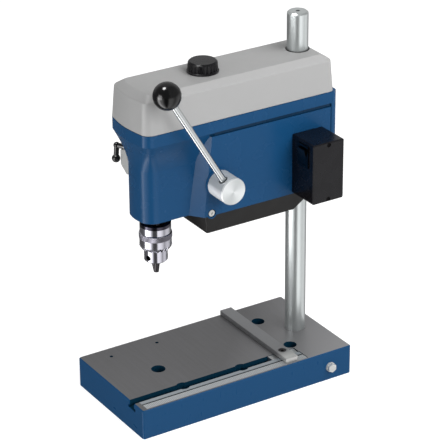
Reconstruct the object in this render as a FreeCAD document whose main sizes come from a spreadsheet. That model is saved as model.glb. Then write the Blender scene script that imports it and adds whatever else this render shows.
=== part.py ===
import FreeCAD, Part
import math
import os
import re
import Sketcher
from FreeCAD import Placement, Rotation, Vector

# Benchtop drill press, millimetres, +Z up. The origin is the middle of the bed's underside,
# -Y is the operator's side and +X is the side of the feed lever.

# Driving sizes: name, value, what it is
SIZES = [
    ("base_length", 290.0, "bed, front to back"),
    ("base_width", 152.0, "bed, side to side"),
    ("base_thick", 37.2, "bed height"),
    ("base_plate", 14.0, "thickness of the bed's top plate"),
    ("base_wall", 9.0, "thickness of the bed's skirt"),
    ("base_rib", 8.0, "thickness of the bed's ribs"),
    ("base_corner", 3.0, "radius of the bed's upright corners"),
    ("base_edge", 1.2, "chamfer round the bed's top"),
    ("base_boss", 13.0, "radius of the bosses under the bed's holes"),
    ("socket_radius", 24.0, "radius of the boss that holds the column"),
    ("socket_floor", 6.0, "floor left under the column"),
    ("table_hole", 8.5, "radius of the hole under the spindle"),
    ("bench_hole", 8.0, "radius of the bench bolt holes"),
    ("bench_hole_in", 40.8, "bench bolt holes in from the bed's sides"),
    ("bench_hole_y", 84.0, "bench bolt holes behind the bed's middle"),
    ("jig_hole", 2.1, "radius of the small tapped holes"),
    ("jig_hole_in", 19.8, "small tapped holes in from the bed's -X side"),
    ("jig_hole_pitch", 63.0, "distance between the small tapped holes"),
    ("jig_hole_depth", 11.0, "depth of the small tapped holes"),
    ("groove_in", 26.0, "fence groove in from the bed's +X side"),
    ("groove_width", 11.0, "fence groove width"),
    ("groove_depth", 10.0, "fence groove depth"),
    ("groove_foot", 4.0, "height of the wider foot of the groove"),
    ("groove_end", 83.3, "closed end of the fence groove"),
    ("foot_end", 74.0, "closed end of the groove's wider foot"),
    ("notch_radius", 8.0, "radius of the loading notches, and half width of the groove's foot"),
    ("notch_first", -76.0, "first loading notch"),
    ("notch_pitch", 81.0, "distance between loading notches"),
    ("rail_width", 17.5, "graduated rail width"),
    ("rail_thick", 3.0, "graduated rail thickness"),
    ("rail_front", 138.0, "front end of the rail from the bed's middle"),
    ("rail_slit", 2.0, "width of the slit along the rail"),
    ("rail_slit_from", 5.8, "slit from the rail's inner edge"),
    ("rail_slit_deep", 1.8, "depth of the slit along the rail"),
    ("rail_end_gap", 1.0, "gap behind the rail in its recess"),
    ("fence_thick", 5.5, "fence thickness"),
    ("fence_width", 16.6, "fence width, front to back"),
    ("fence_back", 71.1, "back face of the fence"),
    ("fence_overlap", 4.5, "fence short of the bed's +X edge"),
    ("fence_corner", 1.0, "radius of the fence's corners"),
    ("fence_edge", 0.6, "chamfer round the fence's top"),
    ("fence_screw", 2.0, "radius of the fence screw"),
    ("fence_head", 5.0, "radius of the fence screw's counterbore"),
    ("fence_socket", 4.0, "width across the flats of the fence screw's socket"),
    ("nut_ahead", 9.0, "fence's nut ahead of the fence"),
    ("nut_end_gap", 1.5, "fence's nut short of the groove's end"),
    ("run_gap", 0.3, "gap between neighbours that move"),
    ("fit_gap", 0.05, "radial clearance of fixed and running fits"),
    ("column_radius", 12.5, "column radius"),
    ("column_top", 446.0, "column top above the bench"),
    ("column_y", 114.6, "column axis behind the bed's middle"),
    ("column_chamfer", 2.0, "chamfer on the column's top"),
    ("centre_hole", 2.5, "radius of the column's centre hole"),
    ("centre_depth", 8.0, "depth of the column's centre hole"),
    ("bolt_radius", 3.0, "radius of the clamp bolts"),
    ("bolt_flats", 10.0, "width across the flats of the clamp bolts"),
    ("bolt_head", 4.0, "height of the clamp bolts' heads"),
    ("bolt_stand", 1.6, "thickness of the clamp bolts' washers"),
    ("bolt_washer", 6.0, "radius of the clamp bolts' washers"),
    ("base_bolt_z", 17.0, "clamp bolt in the bed above the bench"),
    ("head_bolt_z", 24.0, "clamp bolt in the head above its underside"),
    ("bush_wall", 3.5, "wall of the split bush on the column"),
    ("bush_slit", 2.0, "width of the slit in the bush"),
    ("throat", 194.0, "spindle axis to column axis"),
    ("head_z", 240.0, "underside of the head above the bench"),
    ("nose_half", 25.6, "half width of the quill housing"),
    ("nose_front", 28.2, "tip of the housing's bowed front ahead of the spindle"),
    ("nose_side", 22.7, "where the housing's front meets its sides"),
    ("nose_corner", 17.0, "radius of the housing's front corners"),
    ("nose_bow", 50.0, "radius of the housing's bowed front"),
    ("blend_z", 64.0, "where the housing starts to flare"),
    ("rim_z", 101.5, "underside of the head's rim band"),
    ("seam_z", 115.5, "top of the head casting"),
    ("rim_half", 41.0, "half width of the rim band and of the side panels"),
    ("rim_front", 39.0, "tip of the rim's bowed front ahead of the spindle"),
    ("rim_side", 32.6, "where the rim's front meets its sides"),
    ("rim_corner", 12.0, "radius of the rim's front corners"),
    ("rim_bow", 115.0, "radius of the rim's bowed front"),
    ("head_rear", 29.4, "back of the casting behind the column axis"),
    ("rear_corner", 7.0, "radius of the head's back corners"),
    ("panel_top", 97.0, "top of the side panels"),
    ("groove_inset", 2.0, "depth of the shadow groove above the panels"),
    ("shadow_end", 9.0, "shadow groove's end from the casting's back"),
    ("panel_line", 1.0, "width and depth of the line down the panels' back"),
    ("ramp_low_in", 29.0, "foot of the ramp at the underside, inner end"),
    ("ramp_low_out", 40.8, "foot of the ramp at the underside, outer end"),
    ("ramp_high_in", 44.0, "top of the ramp, inner end"),
    ("ramp_high_out", 51.9, "top of the ramp, outer end"),
    ("head_wall", 5.0, "wall of the head casting"),
    ("bay_wall", 4.0, "wall of the drive bay"),
    ("deck_z", 91.0, "underside of the deck"),
    ("bay_floor", 103.0, "floor of the drive bay"),
    ("bay_front", 52.0, "front of the motor chamber"),
    ("bay_rear", 152.0, "back of the motor chamber"),
    ("quill_roof", 87.0, "roof over the quill above the head's underside"),
    ("quill_radius", 16.0, "quill radius"),
    ("quill_low", 4.0, "quill end below the head"),
    ("quill_high", 86.0, "quill top above the head's underside"),
    ("quill_bore", 10.0, "radius through the quill"),
    ("bearing_outer", 13.0, "outer radius of the ball bearings"),
    ("bearing_width", 8.0, "width of the ball bearings"),
    ("spindle_radius", 5.0, "spindle radius"),
    ("taper_drop", 1.0, "how much the spindle's nose narrows in the chuck"),
    ("spindle_high", 143.0, "spindle top above the head's underside"),
    ("stroke", 30.0, "quill travel"),
    ("feed_y", 60.5, "feed shaft behind the spindle axis"),
    ("feed_z", 39.3, "feed shaft above the head's underside"),
    ("shaft_radius", 5.0, "feed shaft radius"),
    ("tooth_module", 1.0, "module of the rack and the sector"),
    ("pressure_angle", 20.0, "pressure angle of the teeth"),
    ("backlash", 0.3, "backlash of the rack and the sector"),
    ("sector_width", 8.0, "face width of the sector"),
    ("sector_boss", 11.0, "radius of the sector's boss"),
    ("sector_boss_out", 2.0, "sector's boss proud of its sides"),
    ("sector_before", 9.0, "sector past the mesh at rest, degrees"),
    ("sector_after", 47.0, "sector ahead of the mesh at rest, degrees"),
    ("hub_boss", 18.0, "radius of the round boss behind the hub"),
    ("hub_boss_high", 1.7, "height of that boss"),
    ("hub_radius", 16.0, "feed hub radius"),
    ("hub_length", 29.0, "feed hub length"),
    ("hub_edge", 1.0, "chamfer on the hub's outer end"),
    ("lever_angle", 31.2, "lever forward of upright, degrees"),
    ("lever_along", 19.5, "lever from the hub's inner end"),
    ("lever_radius", 4.0, "lever rod radius"),
    ("lever_length", 152.5, "feed shaft axis to the ball's middle"),
    ("lever_seat", 5.4, "radius of the spot face where the lever enters"),
    ("lever_seat_at", 11.5, "spot face from the hub's axis"),
    ("ball_radius", 16.0, "ball knob radius"),
    ("ball_neck", 6.5, "radius of the flat on the ball knob"),
    ("spring_cup", 19.0, "radius of the return spring's cup"),
    ("spring_cup_deep", 15.0, "depth of the return spring's cup"),
    ("spring_cup_wall", 1.5, "wall of the return spring's cup"),
    ("spring_leaf", 0.6, "thickness of the return spring's strip"),
    ("spring_turns", 5.0, "turns of the return spring"),
    ("spring_width", 9.0, "width of the return spring's strip"),
    ("gland_radius", 6.5, "radius of the cord gland's flange"),
    ("cord_radius", 3.0, "radius of the cord gland's hole"),
    ("key_z", 20.0, "key screw in the quill housing above the head's underside"),
    ("key_radius", 2.0, "radius of the key screw"),
    ("key_head", 3.5, "radius of the key screw's head"),
    ("key_sink", 3.0, "depth of the key screw's counterbore"),
    ("key_depth", 1.6, "depth of the keyway along the quill"),
    ("lock_angle", 210.0, "quill lock round the spindle, degrees from +X"),
    ("lock_z", 75.4, "quill lock above the head's underside"),
    ("lock_reach", 48.2, "middle of the lock lever from the spindle axis"),
    ("lock_screw", 2.5, "radius of the lock screw"),
    ("lock_ball", 4.9, "radius of the lock lever's lower end"),
    ("lock_knob", 3.8, "radius of the lock lever's upper end"),
    ("lock_collar", 3.0, "radius of the lock lever's collar and waist"),
    ("lock_lean", 8.0, "lean of the lock lever, degrees"),
    ("lock_length", 15.5, "length of the lock lever between its ends"),
    ("plate_thick", 2.0, "thickness of the lock bracket"),
    ("plate_in", 25.0, "inner edge of the lock bracket from the spindle axis"),
    ("plate_turn", 35.5, "where its lower edge starts to rise"),
    ("plate_out", 42.9, "outer edge of the lock bracket from the spindle axis"),
    ("plate_foot", 42.0, "lowest edge of the lock bracket"),
    ("plate_low", 53.5, "lower outer corner of the lock bracket"),
    ("plate_top", 71.5, "upper edge of the lock bracket"),
    ("plate_rib", 1.6, "width of the rib pressed in the lock bracket"),
    ("cover_high", 44.5, "top cover height"),
    ("cover_lean", 2.5, "lean of the top cover's sides below the band"),
    ("cover_wall", 3.0, "top cover wall"),
    ("cover_slope_in", 9.0, "sloped band round the cover's top, across"),
    ("cover_slope_down", 6.5, "sloped band round the cover's top, down"),
    ("cover_short", 4.5, "cover short of the casting at the back"),
    ("cover_gap", 0.8, "height of the shadow gap round the cover's foot"),
    ("cover_gap_in", 1.0, "depth of the shadow gap round the cover's foot"),
    ("ring_outer", 14.0, "outer radius of the ring round the column"),
    ("knob_y", 65.8, "cover knob behind the spindle axis"),
    ("knob_radius", 17.5, "cover knob radius"),
    ("knob_flange", 18.5, "cover knob flange radius"),
    ("knob_high", 13.0, "cover knob height"),
    ("knob_flutes", 24.0, "flutes round the cover knob"),
    ("flute_radius", 1.3, "radius of a flute"),
    ("knob_bevel", 1.8, "bevel on the cover knob's top"),
    ("stud_radius", 4.0, "radius of the stud that the cover knob turns on"),
    ("stud_flats", 13.0, "width across the flats of that stud's foot"),
    ("motor_y", 118.0, "motor axis behind the spindle axis"),
    ("motor_radius", 32.0, "motor radius"),
    ("motor_low", 18.0, "motor below the head's underside"),
    ("motor_shaft", 4.0, "motor shaft radius"),
    ("motor_flange", 3.0, "thickness of the motor's boss in the deck"),
    ("pulley_low", 106.0, "underside of the pulleys"),
    ("pulley_step", 11.0, "height of one pulley step"),
    ("spindle_step_low", 27.0, "belt radius on the spindle pulley's lowest step"),
    ("motor_step_low", 13.0, "belt radius on the motor pulley's lowest step"),
    ("step_change", 4.0, "change of belt radius from step to step"),
    ("belt_wide", 6.0, "belt width"),
    ("belt_thick", 4.0, "belt thickness"),
    ("tray_deep", 25.0, "depth of the tray under the head"),
    ("tray_wall", 2.5, "wall of the tray"),
    ("tray_half_top", 39.5, "half width of the tray at its rim"),
    ("tray_half_low", 33.0, "half width of the tray at its floor"),
    ("tray_front_top", 43.5, "front of the tray's rim"),
    ("tray_front_low", 49.0, "front of the tray's floor"),
    ("tray_back_top", 197.0, "back of the tray's rim"),
    ("tray_back_low", 169.4, "back of the tray's floor"),
    ("tray_notch", 23.5, "radius of the tray's notch round the column"),
    ("lug_y", 50.9, "tray screws behind the spindle axis"),
    ("lug_z", 3.0, "tray screws above the head's underside"),
    ("lug_radius", 6.5, "radius of the lugs for the tray screws"),
    ("lug_sink", 2.5, "depth of the tray screws' counterbores"),
    ("lug_recess", 5.0, "radius of the tray screws' counterbores"),
    ("tray_screw", 2.0, "radius of the tray screws"),
    ("tray_screw_head", 3.9, "radius of the tray screws' heads"),
    ("box_y", 160.2, "front of the switch box behind the spindle axis"),
    ("box_z", 1.5, "underside of the switch box above the head's underside"),
    ("box_deep", 42.5, "switch box, front to back"),
    ("box_high", 74.0, "switch box height"),
    ("box_out", 39.0, "switch box, outwards from the panel"),
    ("box_wall", 2.5, "switch box wall"),
    ("box_corner", 2.0, "radius of the switch box's corners"),
    ("lid_thick", 4.0, "switch box lid thickness"),
    ("lid_edge", 1.2, "chamfer round the lid"),
    ("lid_screw", 1.6, "radius of the lid screws"),
    ("lid_screw_head", 2.4, "radius of the lid screws' heads"),
    ("lid_screw_in", 3.4, "lid screws from the lid's edge"),
    ("frame_wide", 21.0, "switch frame width"),
    ("frame_high", 27.0, "switch frame height"),
    ("frame_out", 23.0, "middle of the switch from the panel"),
    ("frame_up", 56.0, "middle of the switch above the box's underside"),
    ("frame_proud", 1.4, "switch frame in front of the box"),
    ("frame_border", 3.0, "border of the switch frame"),
    ("rocker_pivot", 1.2, "radius of the rocker's pivot"),
    ("rocker_tilt", 9.0, "tilt of the rocker at rest, degrees"),
    ("chuck_top", 8.0, "chuck top below the head's underside"),
    ("chuck_radius", 18.2, "radius of the chuck body's upper band"),
    ("chuck_band", 13.4, "height of the chuck body's upper band"),
    ("sleeve_radius", 19.0, "chuck sleeve radius"),
    ("sleeve_high", 20.8, "chuck sleeve height"),
    ("sleeve_teeth", 24.0, "teeth round the chuck sleeve"),
    ("sleeve_tooth", 1.3, "depth of the sleeve's teeth"),
    ("sleeve_bevel", 2.6, "bevel that carries the teeth, across"),
    ("sleeve_bevel_high", 4.0, "bevel that carries the teeth, height"),
    ("chuck_core", 14.0, "radius of the chuck body inside the sleeve"),
    ("chuck_nose", 13.65, "radius of the chuck body's nose"),
    ("chuck_end", 58.3, "chuck body's end below the head's underside"),
    ("key_hole", 2.7, "radius of the chuck key holes"),
    ("key_hole_up", 6.5, "chuck key holes above the chuck body's end"),
    ("jaw_end", 74.0, "jaw tips below the head's underside"),
    ("jaw_radius", 3.2, "radius of the jaw stems"),
    ("jaw_angle", 12.0, "jaws to the spindle axis, degrees"),
    ("jaw_length", 39.0, "height of the jaws"),
    ("jaw_bore", 1.0, "radius that the jaws grip at rest"),
    ("jaw_travel", 10.0, "jaw travel along its own axis"),
    ("jaw_tip", 2.8, "outer radius of the jaws at their tips"),
    ("shank_bore", 3.3, "radius of the bore for drill shanks"),
    ("shank_depth", 28.0, "depth of the bore for drill shanks"),
    ("nut_high", 4.0, "height of the jaw nut"),
    ("nut_up", 5.4, "jaw nut above the sleeve's lower edge"),
    ("nut_bore", 11.75, "inner radius of the jaw nut"),
]

doc = FreeCAD.newDocument("DrillPress")
sheet = doc.addObject("Spreadsheet::Sheet", "Sizes")
for row, (alias, number, meaning) in enumerate(SIZES, start=1):
    sheet.set("A%d" % row, meaning)
    sheet.set("B%d" % row, str(number))
    sheet.setAlias("B%d" % row, alias)
doc.recompute()

ALIASES = {alias for alias, number, meaning in SIZES}
SPINDLE_Y = "(column_y - throat)"
TURN_X = Rotation(Vector(0, 1, 0), 90)
TURN_Y = Rotation(Vector(1, 0, 0), 90)
UPRIGHT = Rotation()
PIECES = []


def size(expression):
    """Value of an expression made of the sheet's names."""
    return float(sheet.evalExpression(expression))


def bound(expression):
    """The same expression as another object of the document writes it."""
    return re.sub(r"[a-z_]+[a-z]", lambda word: "Sizes." + word.group(0)
                  if word.group(0) in ALIASES else word.group(0), expression)


def drive(target, name, expression):
    """Tie a property of an object to the sheet."""
    target.setExpression(name, bound(expression))


def place(target, x="0", y="0", z="0", turn=UPRIGHT):
    """Put an object at a place given by the sheet, turned as told."""
    target.Placement = Placement(Vector(), turn)
    for axis, expression in zip("xyz", (x, y, z)):
        drive(target, "Placement.Base." + axis, expression)
    return target


def piece(target, label):
    """Name an object as one piece of the drill press."""
    target.Label = label
    PIECES.append(target)
    return target


def in_head(target, label, y="0", z="0"):
    """Name a piece whose own frame stands on the spindle axis at the head's underside."""
    place(target, "0", SPINDLE_Y + " + " + y, "head_z + " + z)
    return piece(target, label)


def box(name, lengths, corner):
    """Block with its lowest corner at the place given."""
    block = doc.addObject("Part::Box", name)
    for side, expression in zip(("Length", "Width", "Height"), lengths):
        drive(block, side, expression)
    return place(block, *corner)


def rod(name, radius, length, start, turn=UPRIGHT):
    """Cylinder from its starting point along its own axis."""
    cylinder = doc.addObject("Part::Cylinder", name)
    drive(cylinder, "Radius", radius)
    drive(cylinder, "Height", length)
    return place(cylinder, *start, turn=turn)


def cone(name, low, high, length, start, turn=UPRIGHT):
    """Cone from its starting point along its own axis."""
    taper = doc.addObject("Part::Cone", name)
    drive(taper, "Radius1", low)
    drive(taper, "Radius2", high)
    drive(taper, "Height", length)
    return place(taper, *start, turn=turn)


def hexagon(name, flats, length, start, turn=UPRIGHT):
    """Hexagonal prism from its starting point along its own axis."""
    prism = doc.addObject("Part::Prism", name)
    prism.Polygon = 6
    drive(prism, "Circumradius", "%s / 2 / cos(30 deg)" % flats)
    drive(prism, "Height", length)
    return place(prism, *start, turn=turn)


def fuse(name, shapes):
    """One solid from several."""
    joined = doc.addObject("Part::MultiFuse", name)
    joined.Shapes = shapes
    joined.Refine = True
    return joined


def group(name, shapes):
    """Several separate solids under one name."""
    together = doc.addObject("Part::Compound", name)
    together.Links = shapes
    return together


def cut(name, blank, tool):
    """One solid less another."""
    remainder = doc.addObject("Part::Cut", name)
    remainder.Base = blank
    remainder.Tool = tool
    remainder.Refine = True
    return remainder


def new_body(name):
    """Empty body for a piece made of sketches and features."""
    return doc.addObject("PartDesign::Body", name)


def origin_plane(body, role):
    """One of a body's own origin planes."""
    return next(plane for plane in body.Origin.OriginFeatures if plane.Role == role)


def sketch_on(body, role, lift, turn=UPRIGHT):
    """Empty sketch on an origin plane, lifted off it by an expression."""
    sketch = body.newObject("Sketcher::SketchObject", body.Name + "_sketch")
    sketch.AttachmentSupport = [(origin_plane(body, role), "")]
    sketch.MapMode = "FlatFace"
    sketch.AttachmentOffset = Placement(Vector(), turn)
    drive(sketch, "AttachmentOffset.Base.z", lift)
    return sketch


def pin_down(sketch, element, point, x, y):
    """Tie a point of a sketch to two expressions."""
    where = sketch.getPoint(element, point)
    for kind, value, expression in (("DistanceX", where.x, x), ("DistanceY", where.y, y)):
        rule = sketch.addConstraint(Sketcher.Constraint(kind, -1, 1, element, point, value))
        sketch.setExpression("Constraints[%d]" % rule, bound(expression))


def outline(body, corners, lift="0", role="XY_Plane", turn=UPRIGHT):
    """Closed outline through corners, each (x, y) or (x, y, radius of its rounding)."""
    sketch = sketch_on(body, role, lift, turn)
    points = [Vector(size(corner[0]), size(corner[1]), 0) for corner in corners]
    count = len(points)
    ends = []
    for index, corner in enumerate(corners):
        here = points[index]
        back = (points[index - 1] - here).normalize()
        ahead = (points[(index + 1) % count] - here).normalize()
        reach = 0.0
        if len(corner) == 3:
            reach = size(corner[2]) / math.tan(back.getAngle(ahead) / 2)
        ends.append((here + back * reach, here + ahead * reach))
    sides = [sketch.addGeometry(Part.LineSegment(ends[index][1], ends[(index + 1) % count][0]))
             for index in range(count)]
    for index, corner in enumerate(corners):
        before, after = sides[index - 1], sides[index]
        if len(corner) == 2:
            sketch.addConstraint(Sketcher.Constraint("Coincident", before, 2, after, 1))
            pin_down(sketch, after, 1, corner[0], corner[1])
            continue
        here = points[index]
        start, finish = ends[index]
        radius = size(corner[2])
        inward = ((start + finish) * 0.5 - here).normalize()
        middle = here + inward * (math.hypot(radius, (start - here).Length) - radius)
        arc = sketch.addGeometry(Part.Arc(start, middle, finish))
        first = 1 if (sketch.getPoint(arc, 1) - start).Length < 1e-6 else 2
        sketch.addConstraint(Sketcher.Constraint("Tangent", before, 2, arc, first))
        sketch.addConstraint(Sketcher.Constraint("Tangent", arc, 3 - first, after, 1))
        rule = sketch.addConstraint(Sketcher.Constraint("Radius", arc, radius))
        sketch.setExpression("Constraints[%d]" % rule, bound(corner[2]))
        mark = sketch.addGeometry(Part.Point(here), True)
        sketch.addConstraint(Sketcher.Constraint("PointOnObject", mark, 1, before))
        sketch.addConstraint(Sketcher.Constraint("PointOnObject", mark, 1, after))
        pin_down(sketch, mark, 1, corner[0], corner[1])
    return sketch


def circles(body, rounds, lift="0", role="XY_Plane", turn=UPRIGHT):
    """Circles on one sketch, each (x, y, radius)."""
    sketch = sketch_on(body, role, lift, turn)
    for x, y, radius in rounds:
        centre = Vector(size(x), size(y), 0)
        circle = sketch.addGeometry(Part.Circle(centre, Vector(0, 0, 1), size(radius)))
        rule = sketch.addConstraint(Sketcher.Constraint("Radius", circle, size(radius)))
        sketch.setExpression("Constraints[%d]" % rule, bound(radius))
        pin_down(sketch, circle, 3, x, y)
    return sketch


def pad(body, sketch, length, taper=None):
    """Solid raised from a sketch along its normal."""
    feature = body.newObject("PartDesign::Pad", body.Name + "_pad")
    feature.Profile = sketch
    drive(feature, "Length", length)
    if taper:
        drive(feature, "TaperAngle", taper)
    return settle(body, feature, 1)


def pocket(body, sketch, length, taper=None, upward=False):
    """Recess sunk from a sketch against its normal, or along it."""
    feature = body.newObject("PartDesign::Pocket", body.Name + "_pocket")
    feature.Profile = sketch
    feature.Reversed = upward
    drive(feature, "Length", length)
    if taper:
        drive(feature, "TaperAngle", taper)
    return settle(body, feature, -1)


def loft(body, sketches, ruled=True, adds=True):
    """Solid that runs through several outlines, or a recess of that form."""
    kind = "PartDesign::AdditiveLoft" if adds else "PartDesign::SubtractiveLoft"
    feature = body.newObject(kind, body.Name + "_loft")
    feature.Profile = sketches[0]
    feature.Sections = sketches[1:]
    feature.Ruled = ruled
    return settle(body, feature, 1 if adds else -1)


def turned(name, corners, label=None):
    """Body of revolution about its own Z axis from a half section of (radius, height)."""
    body = new_body(name)
    sketch = outline(body, corners, role="XZ_Plane")
    feature = body.newObject("PartDesign::Revolution", name + "_turned")
    feature.Profile = sketch
    feature.ReferenceAxis = (sketch, ["V_Axis"])
    feature.Angle = 360
    return settle(body, feature, 1).getParentGeoFeatureGroup()


def settle(body, feature, change):
    """Recompute a feature and stop if it didn't add or remove material as it should."""
    earlier = feature.BaseFeature.Shape.Volume if feature.BaseFeature else 0.0
    body.Tip = feature
    doc.recompute()
    if (feature.Shape.Volume - earlier) * change <= 0:
        raise RuntimeError("%s changed nothing in %s" % (feature.Name, body.Name))
    return feature


def edges_of(shape, wanted):
    """Names of the edges that a test picks."""
    return ["Edge%d" % (index + 1) for index, edge in enumerate(shape.Edges) if wanted(edge)]


def soften(body, wanted, amount, kind="Fillet", second=None):
    """Fillet or chamfer on the edges of a body that a test picks."""
    base = body.Tip
    feature = body.newObject("PartDesign::" + kind, body.Name + "_" + kind.lower())
    feature.Base = (base, edges_of(base.Shape, wanted))
    if kind == "Fillet":
        drive(feature, "Radius", amount)
    else:
        drive(feature, "Size", amount)
        if second:
            feature.ChamferType = "Two distances"
            drive(feature, "Size2", second)
    body.Tip = feature
    doc.recompute()
    return feature


def level(edge, z):
    """Whether an edge lies flat at a height."""
    return abs(edge.BoundBox.ZMin - z) < 1e-4 and abs(edge.BoundBox.ZMax - z) < 1e-4


def rectangle(x_low, x_high, y_low, y_high, corner=None):
    """Corners of a rectangle, rounded or not."""
    spots = ((x_low, y_low), (x_high, y_low), (x_high, y_high), (x_low, y_high))
    return [spot + (corner,) if corner else spot for spot in spots]


def bowed(half, front, side, rear, corner, bow, back_corner):
    """Outline of the head: a bowed front, straight sides and a flat back."""
    return [("-(%s)" % half, rear, back_corner), ("-(%s)" % half, "-(%s)" % side, corner),
            ("0", "-(%s)" % front, bow), (half, "-(%s)" % side, corner),
            (half, rear, back_corner)]


HALF_WIDTH = "base_width / 2"
HALF_LENGTH = "base_length / 2"
GROOVE_X = "(base_width / 2 - groove_in)"
CASTING_REAR = "throat + head_rear"


def base_casting():
    """Hollow bed with its ribs and bosses, holes, fence groove and rail recess."""
    body = new_body("Bed")
    slab = rectangle("-base_width / 2", HALF_WIDTH, "-base_length / 2", HALF_LENGTH, "base_corner")
    pad(body, outline(body, slab), "base_thick")
    soften(body, lambda edge: level(edge, size("base_thick")), "base_edge", "Chamfer")
    inner = "base_width / 2 - base_wall"
    ends = "base_length / 2 - base_wall"
    hollow = rectangle("-(%s)" % inner, inner, "-(%s)" % ends, ends, "base_corner")
    pocket(body, outline(body, hollow), "base_thick - base_plate", upward=True)
    long_rib = rectangle("-base_rib / 2", "base_rib / 2", "-(%s)" % ends, ends)
    pad(body, outline(body, long_rib), "base_thick - base_plate / 2")
    cross_rib = rectangle("-(%s)" % inner, inner, "-base_rib / 2", "base_rib / 2")
    pad(body, outline(body, cross_rib), "base_thick - base_plate / 2")
    bosses = [("0", "0", "base_boss")]
    bosses += [("0", SPINDLE_Y, "base_boss")]
    bench_x = "(base_width / 2 - bench_hole_in)"
    bosses += [(side + bench_x, "bench_hole_y", "base_boss") for side in ("-", "")]
    for boss in bosses:
        pad(body, circles(body, [boss]), "base_thick - base_plate / 2")
    pad(body, circles(body, [("0", "column_y", "socket_radius")]), "base_thick - base_plate / 2")
    lug = rectangle("0", inner + " + base_wall / 2", "column_y - bolt_washer", "column_y + bolt_washer")
    pad(body, outline(body, lug), "base_thick - base_plate / 2")
    top = "base_thick"
    pocket(body, circles(body, [("0", SPINDLE_Y, "table_hole")], top), "base_thick")
    rear_holes = [(side + bench_x, "bench_hole_y", "bench_hole") for side in ("-", "")]
    pocket(body, circles(body, rear_holes, top), "base_thick")
    jig = [("jig_hole_in - base_width / 2", SPINDLE_Y + sign + "jig_hole_pitch / 2", "jig_hole")
           for sign in (" - ", " + ")]
    pocket(body, circles(body, jig, top), "jig_hole_depth")
    socket = [("0", "column_y", "column_radius + fit_gap")]
    pocket(body, circles(body, socket, top), "base_thick - socket_floor")
    groove_low, groove_high = GROOVE_X + " - groove_width / 2", GROOVE_X + " + groove_width / 2"
    groove = rectangle(groove_low, groove_high, "-base_length / 2 - 1", "groove_end")
    pocket(body, outline(body, groove, top), "groove_depth")
    foot = rectangle(GROOVE_X + " - notch_radius", GROOVE_X + " + notch_radius",
                     "-base_length / 2 - 1", "foot_end")
    pocket(body, outline(body, foot, "base_thick - groove_depth"), "groove_foot", upward=True)
    for step in range(2):
        notch = [(GROOVE_X, "notch_first + notch_pitch * %d" % step, "notch_radius")]
        pocket(body, circles(body, notch, top), "groove_depth")
    recess = rectangle(groove_high + " - 0.5", groove_high + " + rail_width + fit_gap",
                       "-(rail_front + fit_gap)", "groove_end + rail_end_gap")
    pocket(body, outline(body, recess, top), "rail_thick")
    bolt = [("column_y", "base_bolt_z", "bolt_radius + fit_gap")]
    pocket(body, circles(body, bolt, "base_width / 2 + 1", "YZ_Plane"), "base_width / 2")
    return piece(body, "base_casting")


def column():
    """Steel column with a chamfered top and a centre hole."""
    top, radius = "column_top - socket_floor", "column_radius"
    body = turned("Post", [
        ("0", "0"), (radius, "0"), (radius, top + " - column_chamfer"),
        (radius + " - column_chamfer", top), ("centre_hole", top),
        ("centre_hole", top + " - centre_depth"), ("0", top + " - centre_depth - centre_hole")])
    place(body, "0", "column_y", "socket_floor")
    return piece(body, "column")


def clamp_bolt(name, reach):
    """Hexagon bolt with its washer, its tip at the origin and its head at the far end along +X."""
    shank = rod(name + "_shank", "bolt_radius", reach + " + bolt_stand", ("0", "0", "0"), TURN_X)
    washer = rod(name + "_washer", "bolt_washer", "bolt_stand", (reach, "0", "0"), TURN_X)
    head = hexagon(name + "_head", "bolt_flats", "bolt_head", (reach + " + bolt_stand", "0", "0"), TURN_X)
    return fuse(name, [shank, washer, head])


def column_clamp_bolt():
    """Bolt in the bed's +X side that holds the column."""
    bolt = clamp_bolt("BedBolt", "base_width / 2 - column_radius - fit_gap")
    place(bolt, "column_radius + fit_gap", "column_y", "base_bolt_z")
    return piece(bolt, "column_clamp_bolt")


def scale_rail():
    """Aluminium rail beside the groove, slit along its length and notched like the groove."""
    body = new_body("Rail")
    length = "rail_front + groove_end"
    pad(body, outline(body, rectangle("0", "rail_width", "0", length)), "rail_thick")
    slit = rectangle("rail_slit_from", "rail_slit_from + rail_slit", "-1", length + " + 1")
    pocket(body, outline(body, slit, "rail_thick"), "rail_slit_deep")
    for step in range(2):
        notch = [("-groove_width / 2", "rail_front + notch_first + notch_pitch * %d" % step, "notch_radius")]
        pocket(body, circles(body, notch, "rail_thick"), "rail_thick")
    place(body, GROOVE_X + " + groove_width / 2", "-rail_front", "base_thick - rail_thick")
    return piece(body, "scale_rail")


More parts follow.
